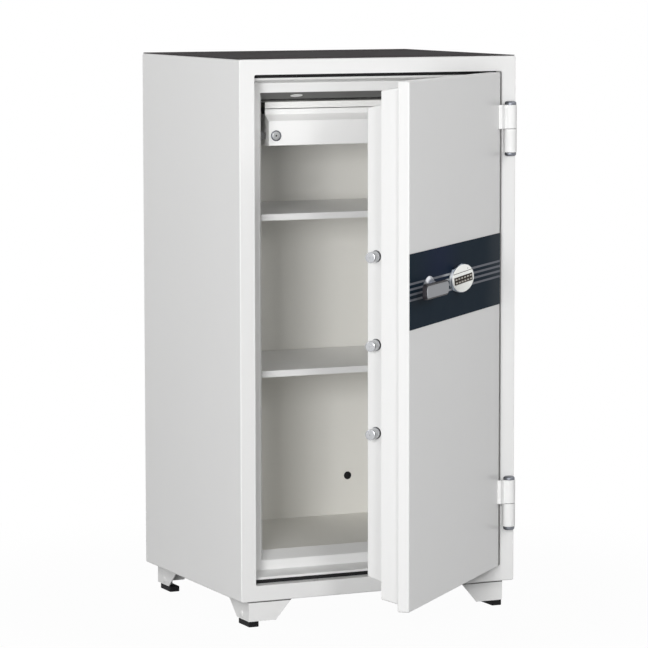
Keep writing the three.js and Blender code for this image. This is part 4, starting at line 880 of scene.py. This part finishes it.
# The electronic lock
# The keypad's half width, its half height and how far it sits below the face's middle
PAD_HALF, PAD_RISE, PAD_DOWN = 25.3, 8.4, 1.8
DISC_R, DISC_T, COLLAR_R = 29.4, 1.8, 31.0
KEY_PITCH_X, KEY_PITCH_Y, KEY_HALF_X, KEY_HALF_Y = 7.9, 7.4, 3.1, 2.7


def pad_ring(margin, cuts):
    """The keypad's outline in the face's frame, with rounded corners. Its sides are cut into equal steps,
    so that a circle beside it is round."""
    w, h = PAD_HALF + margin, PAD_RISE + margin
    box = [[w, h - PAD_DOWN], [-w, h - PAD_DOWN], [-w, -h - PAD_DOWN], [w, -h - PAD_DOWN]]
    ring = rounded(box, 0.8, 6, closed=True)
    t = np.linspace(0, 1, cuts, endpoint=False)[None, :, None]
    return (ring[:, None] * (1 - t) + np.roll(ring, -1, 0)[:, None] * t).reshape(-1, 2)


def disc_ring(like, radius, z):
    """A circle whose points lie in the directions of another ring's."""
    return level_ring(like / np.linalg.norm(like, axis=1)[:, None] * radius, z)


def electronic_lock():
    """The pale disc with its raised frame round the keypad, the line above it and a lamp, on a chrome collar
    that narrows from the disc to an oval foot, which reaches further towards the free edge."""
    pad, grown = pad_ring(0, 24), pad_ring(0.9, 24)
    rings = [
        level_ring(pad, -DISC_T),
        disc_ring(pad, DISC_R, -DISC_T),
        disc_ring(pad, DISC_R, -1.0),
        disc_ring(pad, DISC_R - 0.25, -0.5),
        disc_ring(pad, DISC_R - 0.7, -0.15),
        disc_ring(pad, DISC_R - 1.3, 0.0),
        level_ring(grown, 0.0),
        level_ring(grown, 0.3),
        level_ring(pad, 0.3),
    ]
    disc = skin(on_lock(np.array(rings)), closed=True)
    line = rounded([[-25.8, 13.4], [25.6, 13.4], [25.6, 14.6], [-25.8, 14.6]], 0.4, 3, closed=True)
    bar = skin(on_lock([level_ring(line, -0.3), level_ring(line, 0.06)]))
    t = np.linspace(0, 2 * math.pi, 24, endpoint=False)
    around = np.column_stack([np.cos(t), np.sin(t)])
    bead = [(1.3, -0.3), (1.3, 0.1), (1.0, 0.4), (0.5, 0.55)]
    lamp_bead = skin(on_lock([level_ring([13.8, 18.7] + r * around, z) for r, z in bead]))
    piece(
        "lock_disc",
        "door",
        ["lock_face"],
        (disc, "lock_plastic"),
        (bar, "keypad_plastic"),
        (lamp_bead, "zinc_steel"),
    )
    pocket = pad_ring(-1.5, 12)
    pocket = np.roll(pocket, -np.argmin(np.abs(np.arctan2(pocket[:, 1], pocket[:, 0]))), 0)
    turn = np.arctan2(pocket[:, 1], pocket[:, 0]) + LOCK_ROLL
    rim = LOCK_CENTRE + disc_ring(pocket, COLLAR_R, -3.0) @ LOCK
    lip = LOCK_CENTRE + disc_ring(pocket, DISC_R, -2.1) @ LOCK
    middle, wide, tall, swell = -14, 33.4, 23.5, 5.0
    foot_y = np.full(len(turn), BAND_FRONT - FIT)
    foot_ring = np.column_stack([middle + wide * np.cos(turn), foot_y, BAND_Z + 3 + tall * np.sin(turn)])
    share = np.linspace(0, 1, 9)[:, None, None]
    side = foot_ring + (rim - foot_ring) * share
    side[..., 1] += swell * np.sin(share[..., 0] * math.pi) * (1 - np.cos(turn)) / 2
    well = [LOCK_CENTRE + level_ring(pocket, z) @ LOCK for z in (-2.1, -3.2)]
    rings = np.concatenate([side, [lip], well])
    piece("lock_collar_ring", "door", ["lock_collar"], (skin(swung(rings)), "lock_chrome"))


electronic_lock()


def numeral(text, size):
    """A numeral's outline as a thin raised skin, from the built-in font."""
    curve = bpy.data.curves.new("numeral", "FONT")
    curve.body, curve.size, curve.extrude, curve.resolution_u = text, size, 0.06, 4
    curve.align_x, curve.align_y = "CENTER", "CENTER"
    shown = bpy.data.objects.new("numeral", curve)
    bpy.context.scene.collection.objects.link(shown)
    mesh = shown.evaluated_get(bpy.context.evaluated_depsgraph_get()).to_mesh()
    points = np.array([v.co for v in mesh.vertices], float)
    faces = [list(f.vertices) for f in mesh.polygons]
    bpy.data.objects.remove(shown)
    return points, faces


def key(row, column, text):
    """A key cap: rounded rectangles set in by the rim as they rise, down to a shallow dish, with a pale
    tile on it and the numeral on that."""
    x, y = (column - 2.5) * KEY_PITCH_X, (0.5 - row) * KEY_PITCH_Y - PAD_DOWN
    rings = []
    for rim, z in ((0, -1.5), (0, 0.35), (0.12, 0.62), (0.4, 0.8), (1.0, 0.74)):
        w, h = KEY_HALF_X - rim, KEY_HALF_Y - rim
        outline = rounded([[w, h], [-w, h], [-w, -h], [w, -h]], max(1.0 - rim, 0.3), closed=True)
        rings.append(level_ring(outline + [x, y], z))
    parts = [(skin(on_lock(np.array(rings))), "key_plastic")]
    tile = rounded([[2.5, 1.55], [-2.5, 1.55], [-2.5, -1.55], [2.5, -1.55]], 0.5, 3, closed=True) + [x, y]
    parts.append((skin(on_lock([level_ring(tile, 0.6), level_ring(tile, 0.86)])), "key_face"))
    if text:
        points, faces = numeral(text, 3.0)
        parts.append(((on_lock(points + [x, y, 0.88]), faces), "lever_plastic"))
    number = f"{row + 1}_{column + 1}"
    piece(f"cap_{number}", f"key_{number}", [f"key_{number}"], *parts)


for row, figures in enumerate((("1", "2", "3", "4", "5", ""), ("6", "7", "8", "9", "0", ""))):
    for column, text in enumerate(figures):
        key(row, column, text)


# The drawer
LATCH_X, LATCH_Z = -189.004, 981.33


def drawer_front():
    """A folded front: an upright face, a slope and a lip, with closed ends and the cam's slot on the left."""
    y0, y1, sheet = DRAWER_FACE, DRAWER_FACE + 20, 1.5
    face_top, slope_top, top = DRAWER_LOW + 53, DRAWER_LOW + 66, DRAWER_LOW + 77.5
    outer = [[y1, DRAWER_LOW], [y0, DRAWER_LOW], [y0, face_top], [y1, slope_top], [y1, top]]
    inner = [
        [y1 + sheet, top],
        [y1 + sheet, slope_top - 1],
        [y0 + sheet, face_top - 1],
        [y0 + sheet, DRAWER_LOW + sheet],
        [y1, DRAWER_LOW + sheet],
    ]
    panel = extruded(outer + inner, "x", -RAIL_HALF, RAIL_HALF, [0, 1.8, 2.5, 2.0, 0.4, 0, 1.0, 1.5, 0.5, 0])
    bore = turned([[9.8, -4], [9.8, 4]], (LATCH_X, y0, LATCH_Z), BACKWARDS, 40)
    skins = [(holed(panel, [bore]), "drawer_paint")]
    lower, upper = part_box("drawer_lock_cam")
    slot_y, slot_low, slot_high = lower[1] / MM - 0.6, lower[2] / MM - 4, upper[2] / MM + 0.6
    hole = [[slot_y, slot_low], [y1 + 1, slot_low], [y1 + 1, slot_high], [slot_y, slot_high]]
    slot = extruded(hole, "x", -RAIL_HALF - 1, -RAIL_HALF + 3)
    low = DRAWER_LOW + 0.2
    cheek = [[y0 + 0.2, low], [y0 + 0.2, face_top], [y1, slope_top - 0.2], [y1, low]]
    for x in (-RAIL_HALF + 0.02, RAIL_HALF - sheet - 0.02):
        end = extruded(cheek, "x", x, x + sheet, [1.6, 2.3, 0, 0])
        skins.append((holed(end, [slot]) if x < 0 else end, "drawer_paint"))
    piece("drawer_panel", "drawer", ["drawer_front"], *skins)


def drawer_latch():
    """The cam lock: a dark ring round a bright sunken plug, and the keyhole's slot in a dark bush."""
    centre = (LATCH_X, DRAWER_FACE, LATCH_Z)
    ring = [[9.1, -2.2], [9.1, -2.9], [9.7, -3.4], [10.5, -3.4]]
    ring += [[11.2, -3.0], [11.5, -2.4], [11.5, -0.3], [9.1, -0.3]]
    barrel = [[1, -2.6], [4.6, -2.6], [4.8, -2.2], [5.3, -2.2], [5.5, -2.6], [8.2, -2.6]]
    barrel += [[8.8, -2.3], [9.0, -1.6], [9.0, 0], [9.5, 0], [9.5, 15], [1, 15]]
    bush = [[0.8, -3.0], [1.7, -3.0], [2.0, -2.8], [2.0, -2.3], [0.8, -2.3]]
    piece(
        "drawer_latch",
        "drawer",
        ["drawer_lock"],
        (turned(barrel, centre, BACKWARDS), "latch_steel"),
        (turned(ring, centre, BACKWARDS, closed=True), "hinge_steel"),
        (turned(bush, centre, BACKWARDS, 32), "pad_rubber"),
    )


drawer_front()
drawer_latch()


def throat_plug():
    """The white oval plug in the jamb's slanting top: ovals that shrink as it stands out of the sheet."""
    centre, half_long, half_wide = [-154.6, -185.7, 1068.1], 14, 8
    t = np.linspace(0, 2 * math.pi, 48, endpoint=False)
    lean = math.atan2(15.17, THROAT_RUN)
    back = np.array([0, math.cos(lean), -math.sin(lean)])
    out = np.array([0, -math.sin(lean), -math.cos(lean)])
    oval = half_long * np.cos(t)[:, None] * SIDEWAYS + half_wide * np.sin(t)[:, None] * back
    rows = [(1.0, -0.4), (1.0, 0.5), (0.93, 1.1), (0.75, 1.4), (0.3, 1.5)]
    rings = [centre + share * oval + height * out for share, height in rows]
    piece("throat_plug", "cabinet", [], (skin(np.array(rings)), "plug_plastic"), slot="body_paint")


throat_plug()


# Floor, camera and light
def stage():
    """A wide floor just below the feet: pale grey as the safe's surfaces meet it, and nearly as white as the
    background to the camera and in mirrors and glass."""
    reach, z = 20, FLOOR_Z * MM - 0.0002
    corners = [[-reach, -reach, z], [reach, -reach, z], [reach, reach, z], [-reach, reach, z]]
    mesh = bpy.data.meshes.new("floor")
    mesh.from_pydata(corners, [], [[0, 1, 2, 3]])
    floor = bpy.data.objects.new("floor", mesh)
    bpy.context.scene.collection.objects.link(floor)
    f = Finish("pale floor", roughness=0.8)
    f.set("Base Color", f.blend(f.noise(2, 2), (0.36, 0.36, 0.36), (0.38, 0.38, 0.38)))
    path = f.node("ShaderNodeLightPath", {}, {}, "Is Camera Ray")
    glossy = f.node("ShaderNodeLightPath", {}, {}, "Is Glossy Ray")
    through = f.node("ShaderNodeLightPath", {}, {}, "Is Transmission Ray")
    seen = path.math("MAXIMUM", glossy).math("MAXIMUM", through)
    far = f.node("ShaderNodeVectorMath", {"operation": "LENGTH"}, {0: f.place}, "Value").above(0.9, 0.7)
    glow = f.tree.nodes.new("ShaderNodeEmission")
    mix = f.tree.nodes.new("ShaderNodeMixShader")
    f.join(mix.inputs[0], seen * (far * 0.03 + 0.97))
    f.tree.links.new(f.shader.outputs[0], mix.inputs[1])
    f.tree.links.new(glow.outputs[0], mix.inputs[2])
    f.tree.links.new(mix.outputs[0], f.output.inputs[0])
    dress(mesh, f)


def surroundings(strength):
    """White all round to the camera and in mirrors and glass, and of this strength as light on surfaces."""
    world = bpy.data.worlds.new("studio")
    bpy.context.scene.world = world
    world.use_nodes = True
    nodes, links = world.node_tree.nodes, world.node_tree.links
    path = nodes.new("ShaderNodeLightPath")
    seen = path.outputs["Is Camera Ray"]
    for ray in ("Is Glossy Ray", "Is Transmission Ray"):
        most = nodes.new("ShaderNodeMath")
        most.operation = "MAXIMUM"
        links.new(seen, most.inputs[0])
        links.new(path.outputs[ray], most.inputs[1])
        seen = most.outputs[0]
    level = nodes.new("ShaderNodeMapRange")
    links.new(seen, level.inputs["Value"])
    level.inputs["To Min"].default_value = strength
    level.inputs["To Max"].default_value = 1.0
    back = nodes["Background"]
    links.new(level.outputs[0], back.inputs["Strength"])
    back.inputs["Color"].default_value = (1, 1, 1, 1)


def lamp(name, place, aim, width, height, power):
    """An area lamp that faces a point."""
    light = bpy.data.lights.new(name, "AREA")
    light.shape, light.size, light.size_y, light.energy = "RECTANGLE", width, height, power
    made = bpy.data.objects.new(name, light)
    bpy.context.scene.collection.objects.link(made)
    made.location = place
    made.rotation_euler = (Vector(aim) - Vector(place)).to_track_quat("-Z", "Y").to_euler()


def camera():
    """The photograph's view: 24.51 degrees to the right, 6.155 down, rolled by 0.091."""
    turn, down, roll = (math.radians(a) for a in (24.51, 6.155, 0.091))
    ahead = np.array([math.sin(turn) * math.cos(down), math.cos(turn) * math.cos(down), -math.sin(down)])
    right = np.array([math.cos(turn), -math.sin(turn), 0])
    below = np.cross(ahead, right)
    across = math.cos(roll) * right + math.sin(roll) * below
    under = -math.sin(roll) * right + math.cos(roll) * below
    data = bpy.data.cameras.new("camera")
    data.lens, data.sensor_width = 188.509, 36.0
    made = bpy.data.objects.new("camera", data)
    bpy.context.scene.collection.objects.link(made)
    pose = Matrix(np.column_stack([across, -under, -ahead]).tolist()).to_4x4()
    pose.translation = (-3.1029, -6.7915, 1.3584)
    made.matrix_world = pose
    bpy.context.scene.camera = made


stage()
surroundings(0.25)
lamp("key softbox", (-2.88, -4.02, 1.15), (0, -0.2, 0.45), 1.0, 1.2, 124)
lamp("front softbox", (-0.72, -4.0, 1.5), (-0.1, -0.2, 0.5), 0.5, 0.8, 26)
lamp("fill softbox", (1.9, -2.2, 2.4), (0.1, -0.4, 0.7), 1.2, 1.2, 21)
lamp("side softbox", (-2.8, 0.6, 2.8), (-0.3, 0, 0.7), 1.0, 1.0, 26)
lamp("rear softbox", (1.2, 3.8, 0.5), (0, 0, 0.5), 1.2, 1.1, 60)
camera()
bpy.context.scene.view_settings.view_transform = "Standard"
